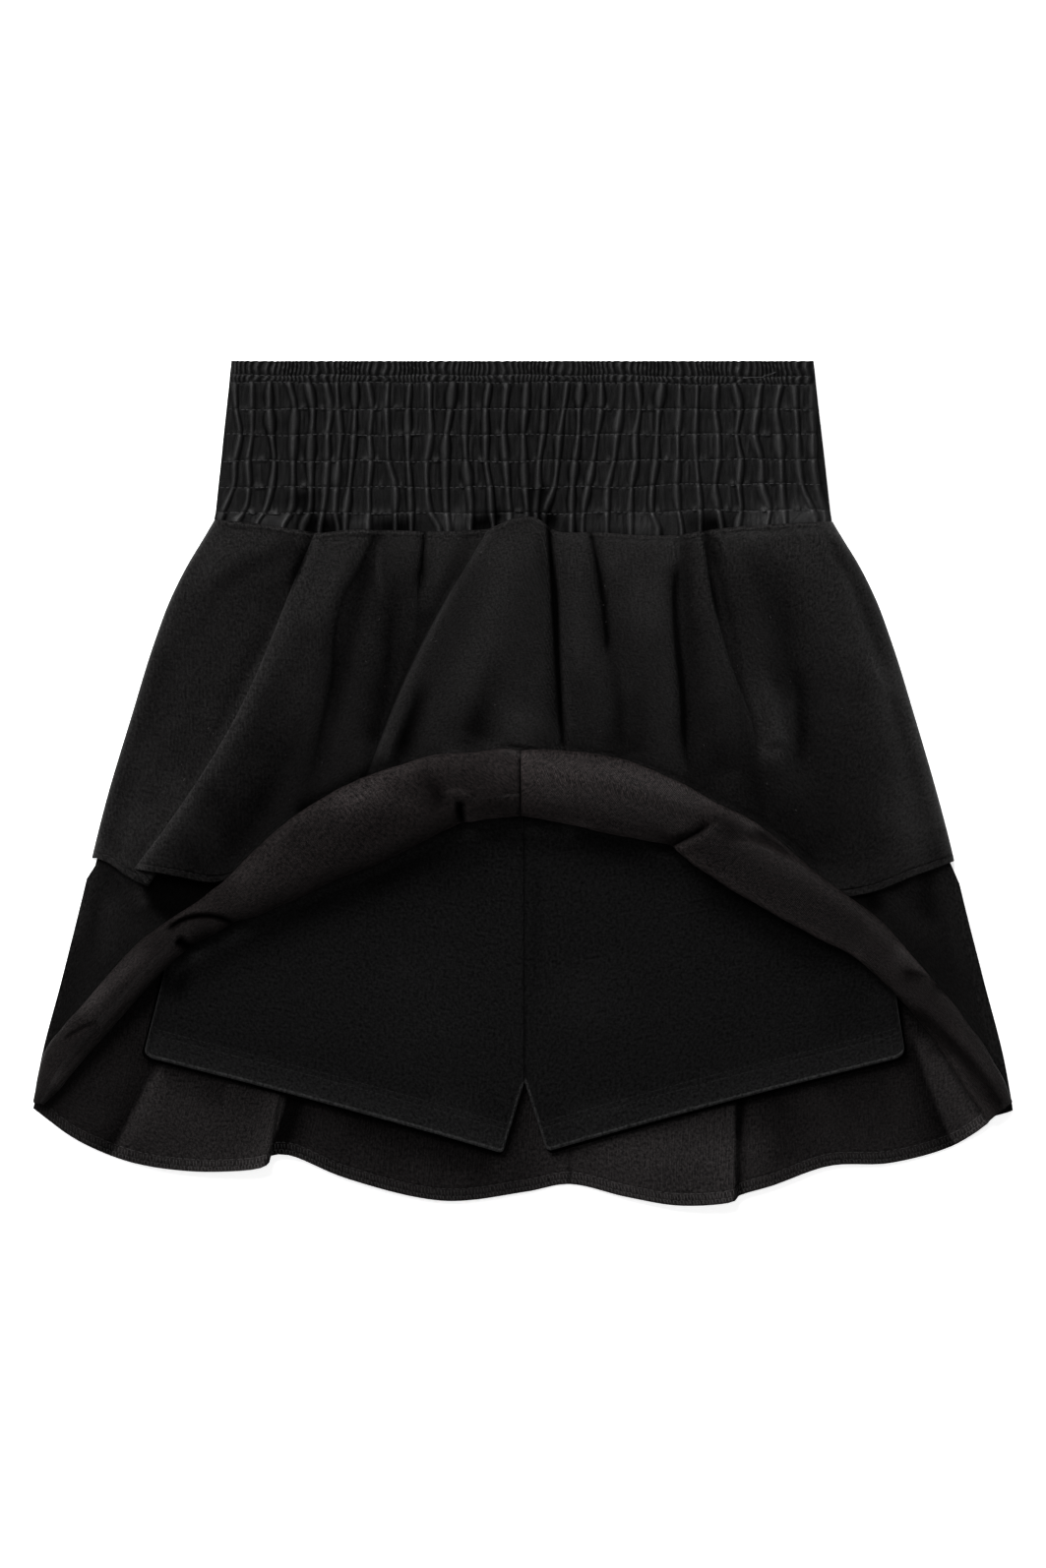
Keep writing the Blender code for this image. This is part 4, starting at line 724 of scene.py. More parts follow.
def creased(mid, creases):
    """How far the creases of a table lift each point of a sheet."""
    x, y = mid[..., 0], mid[..., 1]
    lift = np.zeros_like(x)
    for c in [Crease(*row) for row in creases]:
        path = np.array(c.path, float)
        knots = run_along(path)
        at = np.linspace(0.0, knots[-1], CREASE_STEPS)
        px, py = curve(at, knots, path[:, 0]), curve(at, knots, path[:, 1])
        reach = CREASE_REACH * max(c.left, c.right)
        near = (x > px.min() - reach) & (x < px.max() + reach)
        near &= (y > py.min() - reach) & (y < py.max() + reach)
        qx, qy = x[near], y[near]
        best, aside, along = np.full(qx.shape, 1e9), np.zeros(qx.shape), np.zeros(qx.shape)
        for k in range(CREASE_STEPS - 1):
            dx, dy = px[k + 1] - px[k], py[k + 1] - py[k]
            from_x, from_y = qx - px[k], qy - py[k]
            t = ((from_x * dx + from_y * dy) / (dx * dx + dy * dy)).clip(0.0, 1.0)
            far = (from_x - t * dx) ** 2 + (from_y - t * dy) ** 2
            closer = far < best
            best[closer] = far[closer]
            aside[closer] = (dx * from_y - dy * from_x)[closer]
            along[closer] = ((k + t) / (CREASE_STEPS - 1))[closer]
        fade = smooth(along / c.start) if c.start else 1.0
        fade = fade * (smooth((1 - along) / c.end) if c.end else 1.0)
        lift[near] += c.height * fade * np.exp(-best / np.where(aside > 0, c.left, c.right) ** 2)
    return lift


def from_end(mid):
    """How far each point of a sheet is from the last row, along its column."""
    return run_along(mid[:, ::-1], 1)[:, ::-1]


def rows_at(mid, distance):
    """The row, with its fraction, that lies this far from the last row in each column."""
    rows = np.arange(mid.shape[1])
    return np.array([rows[-1] - np.interp(distance, column[::-1], rows) for column in from_end(mid)])


# ---- threads ----
# the length and the pitch of the stitches in each kind of row
BAND_STITCH = (2.1, 3.0)
TIER_STITCH = (2.3, 3.3)
LEG_STITCH = (1.9, 2.6)
OVERLOCK_HIGH = (2.5, 3.4)
OVERLOCK_LOW = (2.3, 3.4)
OVERLOCK_LOOP = (0.7, 1.7)
# the radius of each kind of thread and how far it lies above its cloth
BAND_THREAD = (0.16, 0.1)
LOOSE_THREAD = (0.2, 0.6)
TIER_THREAD = (0.13, 0.04)
OVERLOCK_THREAD = (0.17, 0.08)
LEG_THREAD = (0.1, 0.0)
LINT = (0.06, 0.06)
THREAD_SIDES = 5


def scatter(*keys):
    """An even spread of numbers from 0 to 1, one for each key, the same on each run."""
    mixed = sum(np.asarray(k, float) * w for k, w in zip(keys, (12.9898, 78.233, 37.719)))
    return np.modf(np.abs(np.sin(mixed) * 43758.5453))[0]


def on_grid(grid, i, j):
    """A grid's values read between its columns and rows."""
    i, j = np.clip(i, 0, grid.shape[0] - 1.001), np.clip(j, 0, grid.shape[1] - 1.001)
    a, b = i.astype(int), j.astype(int)
    s, t = (i - a)[..., None], (j - b)[..., None]
    first = grid[a, b] * (1 - t) + grid[a, b + 1] * t
    return first * (1 - s) + (grid[a + 1, b] * (1 - t) + grid[a + 1, b + 1] * t) * s


def stitch_row(mid, i, j, stitch):
    """Where the stitches of a row lie: columns and rows for each, along the way i, j."""
    length, pitch = stitch
    arc = run_along(on_grid(mid, i, j))
    k = np.arange(int(arc[-1] / pitch))
    start = (k + 0.25 * scatter(k, arc[-1])) * pitch
    long = length * (0.8 + 0.4 * scatter(k, 2.0, arc[-1]))
    at = start[:, None] + long[:, None] * np.array([0.0, 0.33, 0.67, 1.0])
    return np.interp(at, arc, i), np.interp(at, arc, j)


def thread_mesh(name, runs, thread, material, tone=0.5):
    """Threads that lie on sheets, joined in one mesh. Each run is a sheet's middle, half of its
    thickness and the columns and rows that its threads pass over; their ends dive into it. The
    threads take the tone of the cloth under them, its painted light and shade, where that is given."""
    radius, lift = thread
    points, faces, tones, base = [], [], [], 0
    turn = np.linspace(0, 2 * math.pi, THREAD_SIDES, endpoint=False)
    for mid, half, i, j in runs:
        under = on_grid(np.broadcast_to(tone, mid.shape[:2])[..., None], i, j)
        tones.append(np.repeat(under.ravel(), THREAD_SIDES))
        place, up = on_grid(mid, i, j), on_grid(normals(mid), i, j)
        side = np.cross(up, np.gradient(place, axis=1))
        side /= np.linalg.norm(side, axis=2, keepdims=True).clip(1e-9)
        rise = np.full(i.shape[1], lift + half)
        rise[[0, -1]] = half - radius
        centre = place + up * rise[None, :, None]
        ring = side[:, :, None] * np.cos(turn)[:, None] + up[:, :, None] * np.sin(turn)[:, None]
        rings = centre[:, :, None] + ring * radius
        index = np.arange(rings.size // 3).reshape(rings.shape[:3]) + base
        after = np.roll(index, -1, axis=2)
        quad = np.stack([index[:, :-1], index[:, 1:], after[:, 1:], after[:, :-1]], axis=3)
        points.append(rings.reshape(-1, 3))
        faces.append(quad.reshape(-1, 4))
        base += len(points[-1])
    points, faces, tones = np.concatenate(points), np.concatenate(faces), np.concatenate(tones)
    return closed_mesh(name, points, [faces], [0], points[:, :2] * MM, [material], tones.clip(DARKEST, 1.0))


# ---- materials ----
def wire(tree, node, inputs):
    """Sets a node's inputs to values or to other nodes' outputs."""
    for name, value in inputs.items():
        if isinstance(value, bpy.types.NodeSocket):
            tree.links.new(value, node.inputs[name])
        else:
            node.inputs[name].default_value = value


def add_node(tree, kind, output, inputs, **settings):
    node = tree.nodes.new("ShaderNode" + kind)
    for name, value in settings.items():
        setattr(node, name, value)
    wire(tree, node, inputs)
    return node.outputs[output]


def new_material(name):
    material = bpy.data.materials.new(name)
    material.use_nodes = True
    return material, material.node_tree, material.node_tree.nodes["Principled BSDF"]


def mix_colours(tree, factor, dark, light):
    inputs = {"Factor": factor, "A": (*dark, 1.0), "B": (*light, 1.0)}
    return add_node(tree, "Mix", "Result", inputs, data_type="RGBA")


def blend(tree, start, *parts):
    """A start value and, on top of it, each part times its share."""
    for part, share in parts:
        start = add_node(tree, "Math", "Value", {0: part, 1: share, 2: start}, operation="MULTIPLY_ADD")
    return start


def noise_node(tree, vector, scale, detail, roughness=0.55):
    inputs = {"Vector": vector, "Scale": scale, "Detail": detail, "Roughness": roughness}
    return add_node(tree, "TexNoise", "Fac", inputs)


WAVE_BAND = 0.314  # how far apart the wave texture's bands are at scale 1


def bands_node(tree, vector, direction, apart_mm, **more):
    """Bands this far apart, such as the wales of a knit."""
    inputs = {"Vector": vector, "Scale": WAVE_BAND / (apart_mm * MM)}
    inputs.update({name.replace("_", " "): value for name, value in more.items()})
    return add_node(tree, "TexWave", "Fac", inputs, wave_type="BANDS", bands_direction=direction)


def bump_node(tree, height, strength, distance_mm):
    inputs = {"Height": height, "Strength": strength, "Distance": distance_mm * MM}
    return add_node(tree, "Bump", "Normal", inputs)


def tone_share(tree):
    """By how much a mesh's tone, its painted light and shade, makes its cloth lighter or darker."""
    return blend(tree, 0.1, (add_node(tree, "UVMap", "UV", {}, uv_map="tone"), 1.8))


def scaled(tree, colour, share):
    return add_node(tree, "VectorMath", "Vector", {0: colour, "Scale": share}, operation="SCALE")


def cloth_vector(tree, down_scale=1.0):
    """The cloth's own coordinates in metres, stretched for streaks along the grain."""
    place = add_node(tree, "UVMap", "UV", {}, uv_map="cloth")
    return add_node(tree, "Mapping", "Vector", {"Vector": place, "Scale": (1.0, down_scale, 1.0)})


Knit = namedtuple("Knit", "dark light roughness gloss fuzz wale_mm")


def knit_material(name, knit):
    """A stretch knit: fine wales down the cloth, fuzz, uneven dye and faint streaks along the grain;
    the mesh's tone scales its colour and gloss with painted light and shade.
    """
    material, tree, shader = new_material(name)
    plain = cloth_vector(tree)
    wales = bands_node(tree, plain, "X", knit.wale_mm, Distortion=1.6, Detail=1.0, Detail_Scale=1.5)
    fuzz = noise_node(tree, plain, 700.0, 3.0, 0.75)
    streak = noise_node(tree, cloth_vector(tree, 0.16), 900.0, 2.0)
    cloud = noise_node(tree, plain, 28.0, 3.0)
    shade = blend(tree, -1.86, (fuzz, 4.2), (streak, 0.3), (cloud, 0.25))
    share = tone_share(tree)
    gloss = blend(tree, knit.gloss * 0.4, (fuzz, knit.gloss * 1.2))
    height = blend(tree, fuzz, (wales, 0.35), (streak, 0.5))
    wire(tree, shader, {
        "Base Color": scaled(tree, mix_colours(tree, shade, knit.dark, knit.light), share),
        "Specular IOR Level": blend(tree, 0.0, (gloss, share)),
        "Roughness": knit.roughness,
        "Normal": bump_node(tree, height, knit.fuzz, 0.9),
    })
    return material


def woven_material(name, dark, light):
    """A fine plain weave with a satin gleam, creased along its gathers; the mesh's tone scales its
    colour and gloss with painted light and shade.
    """
    material, tree, shader = new_material(name)
    plain = cloth_vector(tree)
    weave = bands_node(tree, plain, "Y", 0.32, Distortion=1.0)
    fine = noise_node(tree, plain, 1400.0, 3.0)
    streak = noise_node(tree, cloth_vector(tree, 0.12), 420.0, 3.0)
    shade = blend(tree, 0.0, (fine, 0.5), (streak, 0.5))
    share = tone_share(tree)
    gloss = blend(tree, 0.06, (fine, 0.16))
    height = blend(tree, fine, (streak, 1.4), (weave, 0.2))
    wire(tree, shader, {
        "Base Color": scaled(tree, mix_colours(tree, shade, dark, light), share),
        "Specular IOR Level": blend(tree, 0.0, (gloss, share)),
        "Roughness": blend(tree, 0.38, (fine, 0.25)),
        "Normal": bump_node(tree, height, 0.35, 0.4),
    })
    return material


def thread_material(name, colour):
    """Spun thread: a fine twist along each stitch, its colour scaled by its mesh's tone of painted
    light and shade.
    """
    material, tree, shader = new_material(name)
    twist = noise_node(tree, add_node(tree, "TexCoord", "Object", {}), 3000.0, 2.0)
    mixed = mix_colours(tree, twist, [c * 0.6 for c in colour], colour)
    wire(tree, shader, {
        "Base Color": scaled(tree, mixed, tone_share(tree)),
        "Specular IOR Level": 0.15,
        "Roughness": 0.6,
        "Normal": bump_node(tree, twist, 0.3, 0.2),
    })
    return material


def floor_material():
    """A white light table: it glows a little, so that shadows on it stay faint."""
    material, tree, shader = new_material("pale_floor")
    grain = noise_node(tree, add_node(tree, "TexCoord", "Object", {}), 40.0, 2.0)
    wire(tree, shader, {
        "Base Color": mix_colours(tree, grain, (0.9, 0.9, 0.9), (0.93, 0.93, 0.93)),
        "Roughness": 0.8,
        "Emission Color": (1.0, 1.0, 1.0, 1.0),
        "Emission Strength": 0.7,
    })
    return material


# ---- waistband ----
STITCH_ROWS_Y = [137.4, 150.6, 163.9, 177.3, 190.3, 203.9, 207.6]
ROWS_Y = [BAND_LOW_Y, *STITCH_ROWS_Y, BAND_TOP_Y]
TOP_ROW = len(STITCH_ROWS_Y)
ROW_PITCH, TOP_PITCH = 13.4, 3.8  # between the rows, and between the highest two
HEADER_FROM = 5.8  # in rows: the gathers end and the header's ruffles start here
RIGHT_ROWS_RISE = [0.0, 1.4, 1.6, 0.8, 0.2, -0.2, -1.0, -0.8, 0.0]  # over the band's right third
HEADER_RUFFLES = 108
ROW_STEPS = [0.0, 0.05, 0.1, 0.17, 0.28, 0.4, 0.52, 0.64, 0.76, 0.86, 0.94]  # between two rows
BAND_HALF = 0.45
BAND_COLUMNS = (721, 201)  # of the front and of the plainer back
BAND_STITCHES = 900  # places along each row at which its way is worked out
BAND_BACK_Z = 0.55
BAND_BACK_HEIGHT = 0.25  # of the front's
BAND_TUCK = 2.2  # how far the front runs on under the tier's upper edge
LOOSE_FROM, LOOSE_LENGTH = 111.0, 18.0  # the loose thread in the header
UNDER_FOLD = (-27.0, 7.0)  # here the tier's middle fold lies over the lowest row of stitches
# where each gather crosses these heights, from the header down
GATHER_ROWS_Y = [205, 190.3, 177.3, 163.9, 150.5, 137.5, 129.5]
GATHERS = [
    [-146.5, -145.5, -143.5, -146, -147, -152.5, -155.5],
    [-137.5, -137.5, -137.5, -139.5, -139, -142, -149],
    [-128.5, -128.5, -127.5, -126, -127.5, -131.5, -137.5],
    [-119, -115.5, -116, -116.5, -116.5, -118, -123],
    [-109, -106.5, -107, -107.5, -107.5, -108.5, -112],
    [-100, -97.5, -99, -99, -100, -101.5, -103],
    [-94.5, -93.5, -92.5, -93.5, -94.5, -95, -93.5],
    [-85, -85, -85.5, -86.5, -88, -89.5, -90],
    [-78.5, -76.5, -77.5, -77, -78, -78, -78.5],
    [-68, -69, -68.5, -68, -64.5, -64.5, -64.5],
    [-57, -58, -58, -58, -57, -56.5, -56.5],
    [-47, -47, -46.5, -48.5, -48.5, -46.5, -42],
    [-35, -36.5, -38.5, -39, -39, -38.5, -37.5],
    [-28, -28.5, -29, -28.5, -27, -26, -26.5],
    [-16.5, -18.5, -18.5, -18.5, -16.5, -15.5, -14.5],
    [-7.5, -9, -9.5, -8.5, -7.5, -6.5, -6.5],
    [2.5, 1.5, 0.5, 1, 1.5, 2.5, 2.5],
    [12.5, 11.5, 10.5, 8.5, 8, 7, 7.5],
    [23, 21, 19, 18, 16, 11.5, 11],
    [30, 29, 28.5, 27, 25.5, 25, 25],
    [40, 40, 38, 36, 33.5, 31, 30.5],
    [51, 50, 48, 46.5, 43.5, 43, 43],
    [58.5, 59.5, 57.5, 57.5, 55.5, 55, 55],
    [71.5, 69.5, 68.5, 68, 66, 66, 69],
    [80, 80, 79, 79, 78.5, 79.5, 81],
    [89, 88.5, 88, 88.5, 89.5, 90.5, 90.5],
    [99, 98, 99.5, 99.5, 98, 100, 101.5],
    [107.5, 110.5, 109, 111, 110, 111, 109],
    [121.5, 119.5, 118, 121.5, 122, 125.5, 123.5],
    [132, 129, 130.5, 131.5, 132, 133, 134],
    [138.5, 139, 140, 140.5, 142.5, 148, 150],
    [148, 148, 148, 148, 150, 154, 155.5],
]
SMALL_FOLDS, TENTS = 3, 10  # for each gather
POCKET_HEIGHT = 4.6
# pockets between the gathers just above the waist seam
POCKETS = named("x y depth reach", [
    (-101, 128.5, 1.5, 6.5), (-64, 128.5, 1.4, 11), (-22, 130.5, 1.6, 7), (-13, 134, 1.6, 4),
    (12.5, 131.5, 1.7, 4.5), (28, 129, 0.7, 7), (97, 130, 1.6, 7), (74, 128.5, 0.8, 6),
    (-139, 131.5, 0.9, 4),
])


def gather_crests(x, y, row, drawn):
    """The gathers' height, less where they are drawn in, and the shade beside them."""
    crest, beside = np.zeros_like(x), np.zeros_like(x)
    for k, path in enumerate(GATHERS):
        d = x - curve(-y, -np.array(GATHER_ROWS_Y), path)
        puff = np.sin(np.pi * (row % 1)) ** 1.4 * scatter(k, np.floor(row) + 2.0) ** 4
        wide = 1.1 + 0.3 * scatter(k, 5.0) + 0.7 * puff + 0.25 * np.sin(row * 2.3 + k * 1.7)
        tall = 1.0 + 0.18 * np.sin(row * 1.9 + k * 2.7) + 0.2 * (scatter(k, 9.0) - 0.5)
        off = np.abs(d) / (wide * np.where(d > 0, 0.9, 1.1))
        crest = np.maximum(crest, tall * drawn * np.exp(-(off**2.6)))
        beside = np.maximum(beside, (0.4 + 0.8 * scatter(k, 7.0)) * bell((off - 1.5) / 0.6))
    return crest, beside


def small_folds(x, row):
    """Folds between the gathers. Some fill the space between two rows, and some start at a row
    and run out above it."""
    small = 0.0
    count = len(GATHERS) * SMALL_FOLDS
    for k in range(count):
        cell = np.floor(scatter(k, 3.0) * 6.0)
        at = -147 + 294 * (k + 0.5) / count + 2.0 * (scatter(k, 6.0) - 0.5) * (row - cell - 0.5)
        lasts = smooth((row - cell) / 0.25) * smooth((cell + 1 - row) / 0.25)
        small = small + (0.1 + 0.2 * scatter(k, 1.0)) * lasts * bell((x - at) / 0.75)
    for k in range(len(GATHERS) * TENTS):
        over = (row - 1 - k % 5) / 0.2
        fading = 1 - over.clip(0.0, 1.0)
        at = -150 + 300 * scatter(k, 11.0)
        tent = fading * smooth((over + 0.25) / 0.25) * bell((x - at) / (0.5 + 1.1 * fading))
        small = small + (0.2 + 0.35 * scatter(k, 4.0)) * tent
    return small


def band_grid(columns, row_steps, tuck):
    """The waistband: its gathers, drawn in at each row of stitching, with small folds between
    them and the ruffled header. It runs on below the waist seam by tuck. Gives its tone too:
    painted light on the gathers, small folds and ruffles, and painted shade beside the gathers
    and in the pockets."""
    u = np.linspace(0.0, 1.0, columns)[:, None]
    rows = np.arange(len(ROWS_Y))
    row = np.array([k + t for k in rows[:-1] for t in row_steps] + [rows[-1]])[::-1]
    plain_y = np.interp(row, rows, ROWS_Y)
    share = (plain_y - BAND_LOW_Y) / (BAND_TOP_Y - BAND_LOW_Y)
    x_low = tier_x(WAIST_CORNER_Y, u)
    x = x_low + (BAND_TOP_HALF * (2 * u - 1) - x_low) * share
    below_top = row < TOP_ROW + 0.5
    stitched = (row > 0.5) & below_top
    rise = np.interp(row, rows, RIGHT_ROWS_RISE) * smooth((x - 40.0) / 60.0)
    rise = rise + 0.35 * np.sin(x * 0.13 + np.floor(row + 0.5) * 2.0) * smooth(row / 0.7) * below_top
    y = plain_y + rise + (seam_y(x_low) + GAP / 2 - BAND_LOW_Y) * (1 - np.minimum(row, 1.0))
    # millimetres to the nearest row of stitches
    to_row = np.abs(row - np.floor(row + 0.5)) * np.where(row > TOP_ROW - 1, TOP_PITCH, ROW_PITCH)
    crest, beside = gather_crests(x, y, row, 1 - 0.3 * bell(to_row) * stitched)
    on_crest = np.minimum(crest, 1.0)
    small = small_folds(x, row)
    header = smooth((row - HEADER_FROM) / 0.5)
    # the header's ruffles: one turn each
    turns = u * HEADER_RUFFLES + 0.8 * np.sin(u * 61.0) + 0.12 * np.sin(row * 5.0 + u * 40.0)
    wave = 0.5 + 0.5 * np.sin(turns * 2 * np.pi)
    ruffle = wave**1.5 * (0.6 + 0.4 * scatter(np.floor(turns + 0.25), 3.0))
    height = (crest + small * (1 - on_crest)) * (1 - 0.75 * header)
    height = height + 1.1 * header * ruffle * np.where(row > TOP_ROW, 1.0, 0.6)
    pocket = sum(p.depth * bell((x - p.x) / p.reach) * bell((y - p.y) / POCKET_HEIGHT) for p in POCKETS)
    pocket = pocket * (1 - 0.75 * on_crest)
    ends = smooth(np.minimum(u, 1 - u) * 60.0)
    plain = BAND_FRONT_Z[1] + (BAND_FRONT_Z[0] - BAND_FRONT_Z[1]) * share
    z = plain + BAND_WALL * 0.75 + (height + 0.3 - 0.2 * bell(to_row / 0.5) * stitched - pocket) * ends
    mid = np.stack([x, y, z], axis=2)
    streaks = ripple(mid * [1.0, 0.14, 1.0], (1.0, 1.5, 21)) + ripple(mid * [1.0, 0.25, 1.0], (0.7, 0.9, 33))
    streaks = streaks * (1 - header) * (1 - 0.6 * on_crest)
    mid[..., 2] += (ripple(mid, (0.07, 2.2, 3), (0.25, 12.0, 5)) + 0.09 * streaks) * ends
    mid[..., 1] -= 0.4 * smooth((row - TOP_ROW - 0.3) / 0.7) * ruffle * ends
    mid[..., 1] -= tuck * (1 - np.minimum(row / 0.3, 1.0)) * ends
    # painted light and shade: crests and small folds lighter, shade beside the gathers and in the pockets,
    # the ruffles lit by their height
    tone = 0.32 + (0.62 * on_crest - 0.3 * beside) * (1 - header) + 0.4 * small - 0.3 * pocket
    tone = tone + 0.11 * streaks + header * (0.85 * ruffle - 0.24) + creased(mid, BAND_TONES)
    return mid, tone.clip(DARKEST, 1.4)


def band_threads(mid):
    """Dashes along each row, and one loose end. The rows lie in steps of ROW_STEPS."""
    runs = []
    columns = np.linspace(2.0, len(mid) - 3.0, BAND_STITCHES)
    for k in range(1, TOP_ROW + 1):
        at = mid.shape[1] - 1 - k * len(ROW_STEPS) + 0.25 * np.sin(columns * 0.05 + k)
        i, j = stitch_row(mid, columns, at, BAND_STITCH)
        x = np.interp(i[:, 0], np.arange(len(mid)), mid[:, -1 - len(ROW_STEPS), 0])
        shown = (k > 1) | (x < UNDER_FOLD[0]) | (x > UNDER_FOLD[1])
        runs.append((mid, BAND_HALF, i[shown], j[shown]))
    loose = np.linspace(0.0, 1.0, 12)
    i = (LOOSE_FROM + LOOSE_LENGTH * loose + BAND_TOP_HALF) / (2 * BAND_TOP_HALF) * (len(mid) - 1)
    j = (1.2 - 0.55 * loose) * len(ROW_STEPS) + 0.8 * np.sin(loose * 5.0)
    return runs, [(mid, BAND_HALF, i[None], j[None])]


# ---- upper tier ----
SIDE_TURN = [(0.62, 0.0), (0.7, 0.32), (1.9, 0.72), (4.6, 0.93), (9.0, 1.0)]  # inset and turn
UNDER_ROLL = 9.0
UPPER_HEM_LEFT, UPPER_HEM_RIGHT = -157.0, 172.0  # the hem shows outside these, clear of the roll
UPPER_HEM_OUTER = 213.0
UPPER_HEM = 3.0  # its stitches lie this far above the edge, and its step a little higher
UPPER_HEM_STEP = 3.4
UPPER_STEP = 1.12  # the longest step across the sheet


def upper_base(x, y):
    """The upper tier's front lies on the lower tier's, and clears its slopes at the sides."""
    inward = x - np.sign(x) * np.minimum(4.0, np.abs(x) * 0.1)
    return lower_front_z(inward, y) + ON_TOP + CLEAR


def through_three(v, mid_v, values):
    """The parabola through values at 0, mid_v and 1."""
    low = (v - mid_v) * (v - 1.0) / mid_v
    mid = v * (v - 1.0) / (mid_v * (mid_v - 1.0))
    high = v * (v - mid_v) / (1.0 - mid_v)
    return values[0] * low + values[1] * mid + values[2] * high


def pleat_lines():
    waist_x, mid_x, low_x = PLEAT_A_EDGE_X
    return named(LINE, [
        (step.name, waist_x + step.over, mid_x + step.over * 1.1, low_x + step.over * 1.1, step.low_y,
         *[step.rise] * 3)
        for step in PLEAT_A
    ])


def line_points(row, v):
    """The points down one line of the upper tier's front."""
    top_y = float(seam_y(row.waist_x)) - GAP
    under_roll = row.low_y is None
    low_y = float(roll_upper_y(row.low_x)) - UNDER_ROLL if under_roll else row.low_y
    end_rise = min(row.low_rise, 1.0) if under_roll else row.low_rise
    y = top_y + (low_y - top_y) * v
    mid_v = (top_y - MID_Y) / (top_y - low_y)
    places = ((row.waist_x, top_y), (row.mid_x, MID_Y), (row.low_x, low_y))
    x = tier_x(y, through_three(v, mid_v, [share_across(*place) for place in places]))
    rise = curve(v, [0.0, mid_v, 0.86, 1.0], [row.waist_rise, row.mid_rise, row.low_rise, end_rise])
    return np.stack([x, y, upper_base(x, y) + rise], axis=1)


def turned_side(v, step, corner, side, inward):
    """A line beside the side seam, where the front turns down to the back."""
    inset, turn = step
    top_y = float(seam_y(side(WAIST_CORNER_Y) + inward * inset)) - GAP
    y = top_y + (corner[1] - inset * 0.35 - top_y) * v
    foot = UPPER_BACK_Z + TIER_WALL / 2 + GAP
    z = foot + (upper_base(side(y) + inward * SIDE_TURN[-1][0], y) - foot) * turn
    return np.stack([side(y) + inward * inset, y, z], axis=1)


def upper_front_sheet():
    """Lines from the waist seam down, with folds and creases, and its sides turned down."""
    v = spaced((0.008, 5), (0.04, 9), (0.55, 62), (0.9, 46), (0.97, 16), (1.0, 16))
    lines = [turned_side(v, step, UPPER_CORNER_LEFT, left_side, 1) for step in SIDE_TURN]
    lines += [line_points(row, v) for row in LEFT_PANEL + pleat_lines() + UPPER_LINES]
    lines += [turned_side(v, step, UPPER_CORNER_RIGHT, right_side, -1) for step in SIDE_TURN[::-1]]
    mid = across(np.stack(lines), UPPER_STEP)
    x, y, base = mid[..., 0], mid[..., 1], mid[..., 2]
    # folds lift the cloth between its side seams, and no crease cuts into the cloth below
    lowest = np.minimum(base, upper_base(x, y) - 0.1)
    inside = smooth((np.minimum(x - left_side(y), right_side(y) - x) - 2.0) / 8.0)
    below_seam = seam_y(x) - y
    lift = creased(mid, UPPER_CREASES) + ripple(mid, (0.3, 19.0, 1), (0.1, 6.5, 2), (0.035, 2.2, 7))
    lift = lift + 0.45 * bell(below_seam - 1.5)
    mid[..., 2] = np.maximum(base + lift * inside, lowest) - 1.3 * bell(below_seam / 0.8) * inside
    # the turned hem stands out a little, with a step where it ends
    hem = from_end(mid)
    step = 0.4 * bell((hem - UPPER_HEM_STEP) / 0.5)
    mid[..., 2] += inside * (0.1 * smooth((UPPER_HEM_STEP - hem) / 0.8) - step)
    return mid


def upper_threads(mid, half):
    """The hem's single row of stitches where it isn't under the roll."""
    rows = rows_at(mid, UPPER_HEM)
    columns = np.arange(len(mid), dtype=float)
    x = on_grid(mid, columns, rows)[:, 0]
    flat = (on_grid(normals(mid), columns, rows)[:, 2] > 0.55) & (np.abs(x) < UPPER_HEM_OUTER)
    shown = [flat & (x < UPPER_HEM_LEFT), flat & (x > UPPER_HEM_RIGHT)]
    return [(mid, half, *stitch_row(mid, columns[keep], rows[keep], TIER_STITCH)) for keep in shown]


# ---- lower tier ----
FOLD_WIDTH = 15.0
FULL_WIDTH = 23.0
ROLL_ON_FOLDS = 2.6
ROLL_ANGLE = 400.0
SHOWN_TO = 284.0  # the roll shows round to here, and IN_FROM of its rows are up to here
IN_FROM = 0.86
FOLD_ANGLE = 300.0
TIGHTER = 0.38
TIGHTER_FROM = 290.0
OFF_TIER_FROM = 0.5
OFF_TIER_OVER = 0.12
SETTLE_ANGLE = 60.0
ROLL_COLUMNS = 290
ROLL_ROWS = 66
BACK_STEP = 1.7  # the longest step across the lower tier's back
BACK_FREE_Y = -140.0
OVERLOCK_ROWS = (6.0, 2.5, 0.3)  # above the hem's edge: two rows of stitches and the edge's loops

# Creases and dents pressed into the roll: how far out along it from the centre (0 to 1), the
# angle round it (90 its lower edge, 180 its top, 270 its upper edge), depth (below 0 a ridge),
# reach toward the centre, reach outward, reach round it, and how far out it leans.
DENT = "along angle depth inward outward round skew"
DENTS_LEFT = named(DENT, [
    (0.115, 112, 2, 0.014, 0.012, 30, 0), (0.56, 128, 1.6, 0.02, 0.02, 70, 0.02),
    (0.64, 150, 1.2, 0.02, 0.02, 60, 0.02),
])
DENTS_RIGHT = named(DENT, [
    (0.272, 112, 1.6, 0.02, 0.010, 40, -0.03), (0.62, 140, 0.8, 0.03, 0.03, 60, 0),
])


def roll_sections(table, along):
    """The roll's edges and top at each place along it, from the centre seam to the side seam."""
    knots = run_along(np.array([((s.up_x + s.low_x) / 2, (s.up_y + s.low_y) / 2) for s in table]))
    columns = [curve(along, knots / knots[-1], column) for column in zip(*table)]
    return np.stack(columns[0:2], axis=1), np.stack(columns[2:4], axis=1), columns[4]


def dent_depth(dents, along, angle):
    depth = 0.0
    for d in dents:
        shift = along - d.along - d.skew * (angle - d.angle) / 60.0
        reach = shift / np.where(shift < 0, d.inward, d.outward)
        depth = depth + d.depth * bell(reach) * bell((angle - d.angle) / d.round)
    return depth


